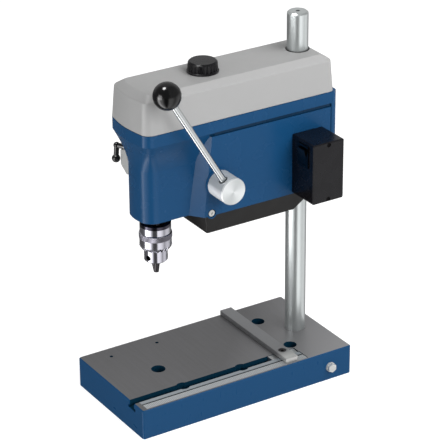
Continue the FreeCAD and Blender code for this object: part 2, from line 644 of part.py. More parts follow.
def fence():
    """Fence bar across the bed, its clamp screw and the long nut that fills the groove round it."""
    body = new_body("Fence")
    length = "base_width - fence_overlap"
    bar = rectangle("0", length, "0", "fence_width", "fence_corner")
    pad(body, outline(body, bar), "fence_thick")
    soften(body, lambda edge: level(edge, size("fence_thick")), "fence_edge", "Chamfer")
    spot = ("base_width - groove_in", "fence_width / 2")
    pocket(body, circles(body, [spot + ("fence_head",)], "fence_thick"), "fence_thick * 0.6")
    pocket(body, circles(body, [spot + ("fence_screw + fit_gap",)], "fence_thick"), "fence_thick")
    place(body, "-base_width / 2", "fence_back - fence_width", "base_thick + run_gap")
    piece(body, "fence_bar")
    top = "fence_thick * 0.4"
    seat = ("0", "0", top + " + fit_gap")
    head = rod("FenceScrewHead", "fence_head - run_gap", "fence_thick * 0.45", seat)
    stem = rod("FenceScrewStem", "fence_screw", "fence_thick + groove_depth / 2",
               ("0", "0", top + " - fence_thick - groove_depth / 2 + run_gap"))
    mouth = ("0", "0", top + " + fence_thick * 0.25")
    socket = hexagon("FenceScrewSocket", "fence_socket", "fence_thick / 3", mouth)
    screw = cut("FenceScrew", fuse("FenceScrewBlank", [head, stem]), socket)
    place(screw, GROOVE_X, "fence_back - fence_width / 2", "base_thick + run_gap")
    piece(screw, "fence_screw")
    start = "-(fence_width / 2 + nut_ahead)"
    behind = "(%s - nut_end_gap - fence_back + fence_width + nut_ahead)"
    foot = box("NutFoot", ("(notch_radius - run_gap) * 2", behind % "foot_end", "groove_foot - run_gap * 2"),
               ("-notch_radius + run_gap", start, "0"))
    neck = box("NutNeck", ("groove_width - run_gap * 2", behind % "groove_end", "groove_depth - run_gap * 2"),
               ("-groove_width / 2 + run_gap", start, "0"))
    bore = rod("NutBore", "fence_screw + fit_gap", "groove_depth + 2", ("0", "0", "-1"))
    nut = cut("GrooveNut", fuse("NutBlank", [foot, neck]), bore)
    place(nut, GROOVE_X, "fence_back - fence_width / 2", "base_thick - groove_depth + run_gap")
    return piece(nut, "fence_nut")


def column_bush():
    """Split bush that the head slides and turns on."""
    outer, inner = "column_radius + bush_wall", "column_radius + fit_gap"
    tube = cut("BushTube", rod("BushOuter", outer, "deck_z", ("0", "0", "0")),
               rod("BushInner", inner, "deck_z + 2", ("0", "0", "-1")))
    slit = box("BushSlit", ("bush_wall * 2", "bush_slit", "deck_z + 2"),
               ("-(%s) - 1" % outer, "-bush_slit / 2", "-1"))
    bush = cut("Bush", tube, slit)
    place(bush, "0", "column_y", "head_z + run_gap")
    return piece(bush, "column_bush")


def blend_section(body, share, height):
    """Outline part of the way from the quill housing to the rim."""
    def between(low, high):
        return "%s + (%s - %s) * %.3f" % (low, high, low, share)
    return outline(body, bowed(
        between("nose_half", "rim_half"), between("nose_front", "rim_front"),
        between("nose_side", "rim_side"), "ramp_high_out + head_wall",
        between("nose_corner", "rim_corner"), between("nose_bow", "rim_bow"),
        "base_edge"), height)


def head_casting():
    """Quill housing, flared into the rim, and the motor housing with its panels and bores."""
    body = new_body("Head")
    nose = bowed("nose_half", "nose_front", "nose_side", "ramp_high_out + head_wall",
                 "nose_corner", "nose_bow", "base_edge")
    pad(body, outline(body, nose), "blend_z")
    flare = []
    for part in (0.0, 0.35, 0.7, 1.0):
        height = "blend_z + (rim_z - blend_z) * %.3f" % part
        flare.append(blend_section(body, part ** 1.5, height))
    loft(body, flare, ruled=False)
    housing = []
    for height, foot_in, foot_out in (("0", "ramp_low_in", "ramp_low_out"),
                                      ("panel_top", "ramp_high_in", "ramp_high_out")):
        inner = "nose_half - 0.5"
        housing.append(outline(body, [
            ("-(%s)" % inner, foot_in), ("-rim_half", foot_out), ("-rim_half", CASTING_REAR, "rear_corner"),
            ("rim_half", CASTING_REAR, "rear_corner"), ("rim_half", foot_out), (inner, foot_in)], height))
    loft(body, housing)
    neck_half = "rim_half - groove_inset"
    neck = rectangle("-(%s)" % neck_half, neck_half, "ramp_high_out", CASTING_REAR + " - groove_inset",
                     "rear_corner - groove_inset")
    pad(body, outline(body, neck, "panel_top"), "rim_z - panel_top")
    back = CASTING_REAR + " - shadow_end"
    strip = [("-rim_half", back), ("rim_half", back), ("rim_half", CASTING_REAR, "rear_corner"),
             ("-rim_half", CASTING_REAR, "rear_corner")]
    pad(body, outline(body, strip, "panel_top"), "rim_z - panel_top")
    for low, high in (("rim_half - panel_line", "rim_half + 1"), ("-rim_half - 1", "panel_line - rim_half")):
        line = rectangle(low, high, back + " - panel_line", back)
        pocket(body, outline(body, line), "panel_top", upward=True)
    rim = bowed("rim_half", "rim_front", "rim_side", CASTING_REAR, "rim_corner", "rim_bow", "rear_corner")
    pad(body, outline(body, rim, "rim_z"), "seam_z - rim_z")
    boss = [("feed_y", "feed_z", "hub_boss")]
    pad(body, circles(body, boss, "rim_half", "YZ_Plane"), "hub_boss_high")
    lugs = [("lug_y", "lug_z", "lug_radius")]
    for side in ("", "-"):
        start = "rim_half - head_wall" if side == "" else "-rim_half"
        pad(body, circles(body, lugs, start, "YZ_Plane"), "head_wall")
    chamber_half = "rim_half - head_wall"
    chamber = rectangle("-(%s)" % chamber_half, chamber_half, "bay_front", "bay_rear", "head_wall")
    pocket(body, outline(body, chamber, "-lug_radius"), "deck_z + lug_radius", upward=True)
    slot = "sector_width / 2 + sector_boss_out + run_gap"
    sector_slot = rectangle("-(%s)" % slot, slot, "0", "bay_front + 1")
    pocket(body, outline(body, sector_slot), "quill_roof", upward=True)
    pocket(body, circles(body, [("0", "0", "quill_radius + fit_gap")]), "quill_roof + 1", upward=True)
    bush_bore = [("0", "throat", "column_radius + bush_wall + fit_gap")]
    pocket(body, circles(body, bush_bore), "seam_z", upward=True)
    bay = bowed("rim_half - bay_wall", "rim_front - bay_wall", "rim_side - bay_wall",
                CASTING_REAR + " - bay_wall", "rim_corner - bay_wall", "rim_bow", "rear_corner - bay_wall")
    pocket(body, outline(body, bay, "seam_z"), "seam_z - bay_floor")
    seats = [("0", "0", "bearing_outer + fit_gap"), ("0", "motor_y", "bearing_outer + fit_gap")]
    pocket(body, circles(body, seats, "bay_floor"), "bay_floor - quill_roof")
    shaft = [("feed_y", "feed_z", "shaft_radius + bush_wall / 2 + fit_gap")]
    pocket(body, circles(body, shaft, "rim_half + hub_boss", "YZ_Plane"), "rim_half * 2 + hub_boss * 2")
    for start, upward in (("rim_half + 1", False), ("-rim_half - 1", True)):
        sink = circles(body, [("lug_y", "lug_z", "lug_recess")], start, "YZ_Plane")
        pocket(body, sink, "lug_sink + 1", upward=upward)
    thread = circles(body, [("lug_y", "lug_z", "tray_screw + fit_gap")], "rim_half + 1", "YZ_Plane")
    pocket(body, thread, "rim_half * 2 + 2")
    bolt = circles(body, [("throat", "head_bolt_z", "bolt_radius + fit_gap")], "-rim_half - 1", "YZ_Plane")
    pocket(body, bolt, "rim_half", upward=True)
    outward = Rotation(Vector(0, 1, 0), size("lock_angle") - 270)
    lock = circles(body, [("0", "lock_z", "lock_screw + fit_gap")], "0", "XZ_Plane", outward)
    pocket(body, lock, "lock_reach", upward=True)
    slot = rectangle("plate_in", "lock_reach", "-(plate_thick / 2 + fit_gap)", "plate_thick / 2 + fit_gap")
    slot = outline(body, slot, "plate_foot", turn=Rotation(Vector(0, 0, 1), size("lock_angle")))
    pocket(body, slot, "plate_top - plate_foot + fit_gap", upward=True)
    key = circles(body, [("0", "key_z", "key_radius + fit_gap")], "0", "YZ_Plane")
    pocket(body, key, "nose_half + 1")
    sink = circles(body, [("0", "key_z", "key_head + fit_gap")], "-(nose_half - key_sink)", "YZ_Plane")
    pocket(body, sink, "key_sink + 1")
    return in_head(body, "head_casting")


def under_tray():
    """Black tray that closes the head from below, with a notch round the column."""
    body = new_body("Tray")

    def level_at(half, front, back, height, wall=""):
        return outline(body, rectangle("-(%s%s)" % (half, wall), half + wall, front + wall.replace("-", "+"),
                                       back + wall, "box_corner"), height)
    top = ("tray_half_top", "tray_front_top", "tray_back_top", "0")
    low = ("tray_half_low", "tray_front_low", "tray_back_low")
    loft(body, [level_at(*top), level_at(*low, "-tray_deep")])
    wall = " - tray_wall"
    loft(body, [level_at(*top, wall), level_at(*low, "-tray_deep + tray_wall", wall)], adds=False)
    pocket(body, circles(body, [("0", "throat", "tray_notch")], "1"), "tray_deep + 2")
    relief = circles(body, [("lug_y", "lug_z", "lug_radius + run_gap")], "rim_half + 1", "YZ_Plane")
    pocket(body, relief, "rim_half * 2 + 2")
    return in_head(body, "under_tray")


def tray_screws():
    """The two screws that hold the tray, one in each side of the head."""
    screws = []
    for index, turn in enumerate((TURN_X, Rotation(Vector(0, 1, 0), -90))):
        side = "" if index == 0 else "-"
        inner, seat, mouth = [(side + "(rim_half - %s)" % back, "0", "0")
                              for back in ("head_wall", "lug_sink", "lug_sink * 0.6")]
        stem = rod("TrayStem%d" % index, "tray_screw", "head_wall - lug_sink + fit_gap", inner, turn)
        head = rod("TrayHead%d" % index, "tray_screw_head", "lug_sink * 0.8", seat, turn)
        socket = hexagon("TraySocket%d" % index, "tray_screw * 1.5", "lug_sink", mouth, turn)
        screws.append(cut("TrayScrew%d" % index, fuse("TrayBlank%d" % index, [stem, head]), socket))
    return in_head(group("TrayScrews", screws), "tray_screws", "lug_y", "lug_z")


def head_clamp_bolt():
    """Bolt in the head's -X side that clamps the bush on the column."""
    bolt = clamp_bolt("HeadBolt", "rim_half - column_radius - bush_wall - fit_gap")
    about = Rotation(Vector(0, 0, 1), 180)
    place(bolt, "-(column_radius + bush_wall + fit_gap)", "column_y", "head_z + head_bolt_z", about)
    return piece(bolt, "head_clamp_bolt")


def bearing_ring(name, low, inner):
    """Ball bearing as one ring from its lower face up."""
    outer = rod(name + "_outer", "bearing_outer", "bearing_width", ("0", "0", low))
    bore = rod(name + "_bore", inner, "bearing_width + 2", ("0", "0", low + " - 1"))
    return cut(name, outer, bore)


def tooth_half_angle(radius, pitch, count, flank, play):
    """Half of a tooth's angle at a radius, from the involute of its base circle."""
    def involute(angle):
        return math.tan(angle) - angle
    here = math.acos(min(1.0, pitch * math.cos(flank) / radius))
    return math.pi / (2 * count) - play / (2 * pitch) + involute(flank) - involute(here)


def quill():
    """Quill: a tube with bearing seats and a rack cut in its back."""
    radius, bore = "quill_radius", "quill_bore"
    seat = "bearing_outer + fit_gap"
    low, high = "-quill_low", "quill_high"
    lower, upper = low + " + bearing_width", high + " - bearing_width"
    tube = turned("QuillTube", [(seat, low), (radius, low), (radius, high), (seat, high), (seat, upper),
                                (bore, upper), (bore, lower), (seat, lower)])
    module = size("tooth_module")
    pitch_line = size("quill_radius") - module
    slope = math.tan(math.radians(size("pressure_angle")))
    half = math.pi * module / 4
    reach = size("sector_width")
    deep, over = pitch_line - 1.25 * module, pitch_line + 2 * module
    spaces = []
    ahead = int(size("stroke") / (math.pi * module)) + 2
    for step in range(-2, ahead + 1):
        z = size("feed_z") + step * math.pi * module
        wide, narrow = half + 2 * module * slope, half - 1.25 * module * slope
        corners = [(over, z - wide), (deep, z - narrow), (deep, z + narrow), (over, z + wide)]
        points = [Vector(-reach, y, height) for y, height in corners]
        face = Part.Face(Part.makePolygon(points + points[:1]))
        spaces.append(face.extrude(Vector(2 * reach, 0, 0)))
    rack = doc.addObject("Part::Feature", "RackSpaces")
    rack.Shape = Part.makeCompound(spaces)
    toothed = cut("QuillToothed", tube, rack)
    half_way = "(key_radius + fit_gap)"
    keyway = box("Keyway", ("key_depth + 1", half_way + " * 2", "stroke + " + half_way + " * 2"),
                 ("-quill_radius - 1", "-" + half_way, "key_z - " + half_way))
    return in_head(cut("Quill", toothed, keyway), "quill")


def key_screw():
    """Screw in the quill housing's -X side whose tip runs in the quill's keyway."""
    tip = "(quill_radius - key_depth + run_gap)"
    stem = rod("KeyStem", "key_radius", "nose_half - %s - key_sink / 2" % tip, ("0", "0", tip))
    head = rod("KeyHead", "key_head", "key_sink * 0.8", ("0", "0", "nose_half - key_sink"))
    socket = hexagon("KeySocket", "key_head", "key_sink", ("0", "0", "nose_half - key_sink / 2"))
    screw = cut("KeyScrew", fuse("KeyBlank", [stem, head]), socket)
    place(screw, "0", SPINDLE_Y, "head_z + key_z", Rotation(Vector(0, 1, 0), -90))
    return piece(screw, "quill_key_screw")


def quill_bearings():
    """The two bearings that carry the spindle in the quill."""
    lower = bearing_ring("LowerBearing", "-quill_low", "spindle_radius + fit_gap / 2")
    upper = bearing_ring("UpperBearing", "quill_high - bearing_width", "spindle_radius + fit_gap / 2")
    return in_head(group("QuillBearings", [lower, upper]), "quill_bearings")


def pulley_bearing():
    """Bearing in the deck that carries the spindle pulley."""
    inner = "spindle_radius + bush_wall + fit_gap * 1.6"
    ring = bearing_ring("PulleyBearing", "bay_floor - bearing_width", inner)
    return in_head(ring, "pulley_bearing")


def spindle():
    """Spindle from the chuck's taper to the end that slides in the pulley."""
    radius = "spindle_radius"
    collar = "spindle_radius + 2"
    body = turned("Spindle", [
        ("0", "-chuck_top - chuck_band"), (radius + " - taper_drop", "-chuck_top - chuck_band"),
        (radius, "-chuck_top"), (collar, "-chuck_top"), (collar, "-quill_low - run_gap"),
        (radius, "-quill_low - run_gap"), (radius, "quill_high + 1"), (radius, "spindle_high - 1"),
        (radius + " - 1", "spindle_high"), ("0", "spindle_high")])
    return in_head(body, "spindle")


def chuck_body():
    """Chuck body: upper band, core inside the sleeve, nose with key holes and jaw holes."""
    top, band, end = "-chuck_top", "-chuck_top - chuck_band", "-chuck_end"
    core_end = band + " - sleeve_high"
    nut_low, nut_groove, close = core_end + " + nut_up", "nut_bore - 0.8", "fit_gap * 0.4"
    blank = turned("ChuckBlank", [
        ("spindle_radius + " + close, top), ("chuck_radius - 4", top), ("chuck_radius", top + " - 2"),
        ("chuck_radius", band), ("chuck_core", band), ("chuck_core", nut_low + " + nut_high + run_gap"),
        (nut_groove, nut_low + " + nut_high + run_gap"), (nut_groove, nut_low + " - run_gap"),
        ("chuck_core", nut_low + " - run_gap"), ("chuck_core", core_end), ("chuck_nose", core_end),
        ("chuck_nose", end + " + 1.5"), ("chuck_nose - 1.5", end), ("0", end),
        ("0", band + " - " + close), ("spindle_radius - taper_drop + " + close, band + " - " + close)])
    holes = [rod("ShankBore", "shank_bore", "shank_depth + 1", ("0", "0", "-chuck_end - 1"))]
    for index in range(3):
        turn = Rotation(Vector(0, 0, 1), 120 * index + 49)
        start = ("0", "0", end + " + key_hole_up")
        hole = rod("KeyHole%d" % index, "key_hole", "chuck_nose", start, turn.multiply(TURN_X))
        outward = turn.multVec(Vector(1, 0, 0))
        drive(hole, "Placement.Base.x", "%.6f * chuck_nose / 2" % outward.x)
        drive(hole, "Placement.Base.y", "%.6f * chuck_nose / 2" % outward.y)
        holes.append(hole)
        holes.append(jaw_stem("JawHole%d" % index, index, "jaw_radius + fit_gap", "jaw_travel + 0.5"))
    return in_head(cut("ChuckBody", blank, fuse("ChuckHoles", holes)), "chuck_body")


def jaw_stem(name, index, radius, extra="0"):
    """Cylinder along a jaw's slanting axis, from below its tip upwards."""
    around = 120 * index + 109
    slant = Rotation(Vector(0, 0, 1), around).multiply(Rotation(Vector(0, 1, 0), size("jaw_angle")))
    foot = "(jaw_tip - jaw_radius - 4 * tan(jaw_angle * 1 deg))"
    length = "(jaw_length + 4 + %s) / cos(jaw_angle * 1 deg)" % extra
    stem = rod(name, radius, length, ("0", "0", "-jaw_end - 4"), slant)
    drive(stem, "Placement.Base.x", "%.6f * %s" % (math.cos(math.radians(around)), foot))
    drive(stem, "Placement.Base.y", "%.6f * %s" % (math.sin(math.radians(around)), foot))
    return stem


def jaws():
    """Three jaws that close on the drill shank."""
    for index in range(3):
        around = Rotation(Vector(0, 0, 1), 120 * index + 109)
        stem = jaw_stem("JawStem%d" % index, index, "jaw_radius")
        reach, height = size("sleeve_radius"), size("-jaw_end")
        near = size("run_gap") / 2 / math.sin(math.radians(60))
        corners = [Vector(near, 0, height), Vector(near + reach, -reach * math.sqrt(3), height),
                   Vector(near + reach, reach * math.sqrt(3), height)]
        corners = [around.multVec(corner) for corner in corners]
        wedge = doc.addObject("Part::Feature", "JawWedge%d" % index)
        triangle = Part.Face(Part.makePolygon(corners + corners[:1]))
        wedge.Shape = triangle.extrude(Vector(0, 0, size("jaw_length")))
        inside = doc.addObject("Part::MultiCommon", "JawBlank%d" % index)
        inside.Shapes = [stem, wedge]
        bore = rod("JawBore%d" % index, "jaw_bore", "jaw_length + 2", ("0", "0", "-jaw_end - 1"))
        in_head(cut("Jaw%d" % index, inside, bore), "jaw_%d" % (index + 1))


def jaw_nut():
    """Nut inside the sleeve that drives the jaws."""
    low = "-chuck_top - chuck_band - sleeve_high + nut_up"
    ring = cut("NutRing", rod("NutOuter", "chuck_core + 3 - fit_gap", "nut_high", ("0", "0", low)),
               rod("NutInner", "nut_bore", "nut_high + 2", ("0", "0", low + " - 1")))
    return in_head(ring, "chuck_nut")


def chuck_sleeve():
    """Sleeve that closes the jaws, with bevel teeth for the key round its lower edge."""
    top = "-chuck_top - chuck_band - run_gap"
    low = "-chuck_top - chuck_band - sleeve_high"
    outer = "sleeve_radius"
    inner = "chuck_core + fit_gap"
    chamber = "chuck_core + 3"
    blank = turned("SleeveBlank", [
        (inner, top), (outer + " - 1.2", top), (outer, top + " - 1"), (outer, top + " - 7"),
        (outer + " - 0.4", top + " - 7.4"), (outer + " - 0.4", low + " + sleeve_bevel_high + 0.6"),
        (outer, low + " + sleeve_bevel_high + 0.2"), (outer, low + " + sleeve_bevel_high"),
        (outer + " - sleeve_bevel", low), (inner, low),
        (inner, low + " + 3"), (chamber, low + " + 5"), (chamber, top + " - 5"), (inner, top + " - 3")])
    spaces = []
    count = int(size("sleeve_teeth"))
    across, high, depth = size("sleeve_bevel"), size("sleeve_bevel_high"), size("sleeve_tooth")
    along = Vector(across, 0, high).normalize()
    outward = Vector(high, 0, -across).normalize()
    foot = Vector(size(outer) - across, 0, size(low)) - along
    sides = [foot + outward * depth / 2 + Vector(0, side * depth, 0) for side in (-1, 1)]
    corners = [foot - outward * depth] + sides
    groove = Part.Face(Part.makePolygon(corners + corners[:1])).extrude(along * high * 2)
    for index in range(count):
        space = groove.copy()
        space.rotate(Vector(), Vector(0, 0, 1), 360.0 * index / count)
        spaces.append(space)
    teeth = doc.addObject("Part::Feature", "SleeveSpaces")
    teeth.Shape = Part.makeCompound(spaces)
    return in_head(cut("Sleeve", blank, teeth), "chuck_sleeve")


def stepped_pulley(name, steps, bore, hub_low=None):
    """Pulley with a groove for the belt on each step, steps given from the lowest up."""
    corners = []
    low = "pulley_low"
    for index, belt_radius in enumerate(steps):
        bottom = "%s + pulley_step * %d" % (low, index)
        land = "((pulley_step - belt_wide) / 2 - run_gap)"
        rim = belt_radius + " + 2"
        root = belt_radius + " - belt_thick"
        top = bottom + " + pulley_step"
        corners += [(rim, bottom), (rim, bottom + " + " + land), (root, bottom + " + " + land),
                    (root, top + " - " + land), (rim, top + " - " + land), (rim, top)]
    if hub_low:
        hub = bore + " + bush_wall"
        return turned(name, [(bore, top), (bore, hub_low), (hub, hub_low), (hub, low)] + corners)
    return turned(name, [(bore, top), (bore, low)] + corners)


def steps_from(low, change):
    """Belt radii of the three steps from the lowest up."""
    return ["%s + (%s) * %d" % (low, change, index) for index in range(3)]


def drive_train():
    """Motor with its shaft and pulley, the spindle pulley and the belt."""
    spindle_steps = steps_from("spindle_step_low", "-step_change")
    motor_steps = steps_from("motor_step_low", "step_change")
    hub_low = "bay_floor - bearing_width"
    driven = stepped_pulley("SpindlePulley", spindle_steps, "spindle_radius + fit_gap", hub_low)
    in_head(driven, "spindle_pulley")
    driver = stepped_pulley("MotorPulley", motor_steps, "motor_shaft + fit_gap / 5")
    in_head(driver, "motor_pulley", "motor_y")
    low, high = "-motor_low", "deck_z"
    can = turned("MotorCan", [
        ("motor_shaft + fit_gap", low), ("motor_radius - 6", low), ("motor_radius", low + " + 6"),
        ("motor_radius", high + " - 8"), ("motor_radius - 3", high + " - 5"), ("motor_radius - 3", high),
        ("bearing_outer", high), ("bearing_outer", high + " + motor_flange"),
        ("motor_shaft + fit_gap", high + " + motor_flange")])
    in_head(can, "motor", "motor_y")
    length = "pulley_low + pulley_step * 3 + motor_low - 4"
    shaft = rod("MotorShaft", "motor_shaft", length, ("0", "0", "-motor_low + 3"))
    in_head(group("MotorShaftOnly", [shaft]), "motor_shaft", "motor_y")
    middle = "pulley_low + pulley_step * 1.5 - belt_wide / 2"
    gap, thick, wide = size("run_gap"), size("belt_thick"), size("belt_wide")
    ends = ((0.0, spindle_steps[1]), (size("motor_y"), motor_steps[1]))
    inner = [(y, size(step) - thick + gap) for y, step in ends]
    outer = [(y, radius + thick - gap) for y, radius in inner]
    belt = doc.addObject("Part::Feature", "Belt")
    belt.Shape = belt_loop(outer, wide).cut(belt_loop(inner, wide))
    in_head(belt, "drive_belt", "0", middle)


def belt_loop(rounds, height):
    """Prism round two circles on the Y axis, given as (y, radius), and their outer tangents."""
    (near, big), (far, small) = rounds
    tilt = math.asin((big - small) / (far - near))

    def spot(y, radius, side):
        return Vector(side * radius * math.cos(tilt), y + radius * math.sin(tilt), 0)
    left_near, right_near = spot(near, big, -1), spot(near, big, 1)
    left_far, right_far = spot(far, small, -1), spot(far, small, 1)
    edges = [Part.Arc(left_near, Vector(0, near - big, 0), right_near).toShape(),
             Part.makeLine(right_near, right_far),
             Part.Arc(right_far, Vector(0, far + small, 0), left_far).toShape(),
             Part.makeLine(left_far, left_near)]
    return Part.Face(Part.Wire(edges)).extrude(Vector(0, 0, height))


def motor_screws():
    """Four screws that hang the motor from the deck."""
    screws = []
    for index in range(4):
        angle = math.radians(45 + 90 * index)
        x, y = "%.6f * (motor_radius - 10)" % math.cos(angle), "%.6f * (motor_radius - 10)" % math.sin(angle)
        screws.append(rod("MotorScrew%d" % index, "tray_screw_head", "tray_screw", (x, y, "0")))
    return in_head(group("MotorScrews", screws), "motor_screws", "motor_y", "bay_floor")


def feed_shaft():
    """Feed shaft through the head, from the spring cup to the hub."""
    far = "(rim_half + run_gap + spring_cup_deep - spring_cup_wall - run_gap)"
    length = far + " + rim_half + hub_boss_high + run_gap + hub_length - 4"
    shaft = rod("FeedShaft", "shaft_radius", length, ("-" + far, "0", "0"), TURN_X)
    return in_head(group("FeedShaftOnly", [shaft]), "feed_shaft", "feed_y", "feed_z")


def feed_bushes():
    """Flanged bushes that carry the feed shaft in both walls."""
    bushes = []
    for index, start in enumerate(("rim_half - head_wall", "-rim_half")):
        wall, before = (start, "0", "0"), (start + " - 1", "0", "0")
        sleeve = rod("FeedBush%d" % index, "shaft_radius + bush_wall / 2", "head_wall", wall, TURN_X)
        bore = rod("FeedBushBore%d" % index, "shaft_radius + fit_gap", "head_wall + 2", before, TURN_X)
        bushes.append(cut("FeedBushPiece%d" % index, sleeve, bore))
    return in_head(group("FeedBushes", bushes), "feed_bushes", "feed_y", "feed_z")


def feed_sector():
    """Toothed sector that drives the quill's rack, with its boss on the feed shaft."""
    module = size("tooth_module")
    pitch = size("feed_y") - (size("quill_radius") - module)
    count = 2 * pitch / module
    flank = math.radians(size("pressure_angle"))
    play = size("backlash")
    root, tip = pitch - 1.25 * module, pitch + 0.9 * module
    first = -int(size("sector_before") / (360 / count))
    last = int(size("sector_after") / (360 / count))
    half = size("sector_width") / 2

    def spot(radius, angle):
        return Vector(-half, -radius * math.cos(angle), radius * math.sin(angle))
    points = []
    step = 2 * math.pi / count
    for tooth in range(first, last + 1):
        middle = tooth * step
        for radius in (root, pitch, tip):
            points.append(spot(radius, middle - tooth_half_angle(radius, pitch, count, flank, play)))
        for radius in (tip, pitch, root):
            points.append(spot(radius, middle + tooth_half_angle(radius, pitch, count, flank, play)))
    boss = size("sector_boss")
    low, high = first * step - step / 2, last * step + step / 2
    points = [spot(root, low)] + points
    points += [spot(root, high), spot(boss * 0.9, high + 0.5), spot(boss * 0.9, low - 0.5)]
    blade = Part.Face(Part.makePolygon(points + points[:1])).extrude(Vector(2 * half, 0, 0))
    proud = size("sector_boss_out")
    ring = Part.makeCylinder(boss, 2 * (half + proud), Vector(-half - proud, 0, 0), Vector(1, 0, 0))
    inner = size("shaft_radius + fit_gap / 5")
    bore = Part.makeCylinder(inner, 4 * half, Vector(-2 * half, 0, 0), Vector(1, 0, 0))
    sector = doc.addObject("Part::Feature", "Sector")
    sector.Shape = blade.fuse(ring).cut(bore).removeSplitter()
    return in_head(sector, "feed_sector", "feed_y", "feed_z")


def lever_turn():
    """Rotation that lays +Z along the feed lever."""
    return Rotation(Vector(1, 0, 0), size("lever_angle"))


def feed_hub():
    """Turned hub with a spot face where the lever screws in."""
    start = "(rim_half + hub_boss_high + run_gap)"
    barrel = rod("HubBarrel", "hub_radius", "hub_length - hub_edge", (start, "0", "0"), TURN_X)
    outer = (start + " + hub_length - hub_edge", "0", "0")
    edge = cone("HubEdge", "hub_radius", "hub_radius - hub_edge", "hub_edge", outer, TURN_X)
    inner = (start + " - 0.5", "0", "0")
    bore = rod("HubBore", "shaft_radius + fit_gap / 5", "hub_length - 3.5", inner, TURN_X)
    across = start + " + lever_along"
    seat = rod("HubSeat", "lever_seat", "hub_radius", (across, "0", "0"), lever_turn())
    drive(seat, "Placement.Base.y", "-sin(lever_angle * 1 deg) * lever_seat_at")
    drive(seat, "Placement.Base.z", "cos(lever_angle * 1 deg) * lever_seat_at")
    hole = rod("HubHole", "lever_radius + fit_gap / 5", "hub_radius", (across, "0", "0"), lever_turn())
    hub = cut("FeedHub", fuse("HubBlank", [barrel, edge]), fuse("HubTools", [bore, seat, hole]))
    return in_head(hub, "feed_hub", "feed_y", "feed_z")


def feed_lever():
    """Lever rod and its ball knob."""
    across = "(rim_half + hub_boss_high + run_gap + lever_along)"
    inner = "(shaft_radius + 0.2)"
    stem = rod("LeverRod", "lever_radius", "lever_length - %s" % inner, (across, "0", "0"), lever_turn())
    drive(stem, "Placement.Base.y", "-sin(lever_angle * 1 deg) * " + inner)
    drive(stem, "Placement.Base.z", "cos(lever_angle * 1 deg) * " + inner)
    in_head(group("Lever", [stem]), "lever_rod", "feed_y", "feed_z")
    ball = doc.addObject("Part::Sphere", "BallBlank")
    drive(ball, "Radius", "ball_radius")
    flat = "sqrt(ball_radius ^ 2 - ball_neck ^ 2)"
    block = ("ball_radius * 2", "ball_radius * 2", "ball_radius")
    face = box("BallFace", block, ("-ball_radius", "-ball_radius", "-ball_radius - " + flat))
    hole = rod("BallHole", "lever_radius + fit_gap / 5", "ball_radius + fit_gap", ("0", "0", "-ball_radius"))
    knob = cut("BallKnob", ball, fuse("BallTools", [face, hole]))
    knob.Placement = Placement(Vector(), lever_turn())
    piece(knob, "ball_knob")
    drive(knob, "Placement.Base.x", across)
    drive(knob, "Placement.Base.y", SPINDLE_Y + " + feed_y - sin(lever_angle * 1 deg) * lever_length")
    drive(knob, "Placement.Base.z", "head_z + feed_z + cos(lever_angle * 1 deg) * lever_length")


def spring_housing():
    """Cup on the head's -X side that holds the return spring."""
    inner = "spring_cup - spring_cup_wall"
    floor = "spring_cup_deep - spring_cup_wall"
    cup = turned("SpringCup", [
        ("0", "spring_cup_deep"), ("0", floor), (inner, floor), (inner, "0"), ("spring_cup", "0"),
        ("spring_cup", "spring_cup_deep - 1"), ("spring_cup - 1", "spring_cup_deep")])
    place(cup, "-rim_half", SPINDLE_Y + " + feed_y", "head_z + feed_z", Rotation(Vector(0, 1, 0), -90))
    return piece(cup, "spring_cup")


def return_spring():
    """Flat spiral spring from the feed shaft out to the cup, in half turns of growing radius."""
    leaf = size("spring_leaf")
    inner, outer = size("shaft_radius + run_gap"), size("spring_cup - spring_cup_wall - fit_gap")
    half_turns = int(2 * size("spring_turns"))
    growth = (outer - leaf - inner) / half_turns
    edges_in, edges_out = [], []
    radius, side, centre = inner, 1, 0.0
    for half_turn in range(half_turns):
        for offset, store in ((0.0, edges_in), (leaf, edges_out)):
            reach = radius + offset
            first = Vector(centre + side * reach, 0, 0)
            middle = Vector(centre, side * reach, 0)
            last = Vector(centre - side * reach, 0, 0)
            store.append(Part.Arc(first, middle, last).toShape())
        centre += side * growth
        radius += growth
        side = -side
    caps = [Part.makeLine(edges_in[0].Vertexes[0].Point, edges_out[0].Vertexes[0].Point),
            Part.makeLine(edges_in[-1].Vertexes[-1].Point, edges_out[-1].Vertexes[-1].Point)]
    wire = Part.Wire(Part.__sortEdges__(edges_in + edges_out + caps))
    spring = doc.addObject("Part::Feature", "ReturnSpring")
    spring.Shape = Part.Face(wire).extrude(Vector(0, 0, size("spring_width")))
    place(spring, "-rim_half - 3", SPINDLE_Y + " + feed_y", "head_z + feed_z", Rotation(Vector(0, 1, 0), -90))
    return piece(spring, "return_spring")


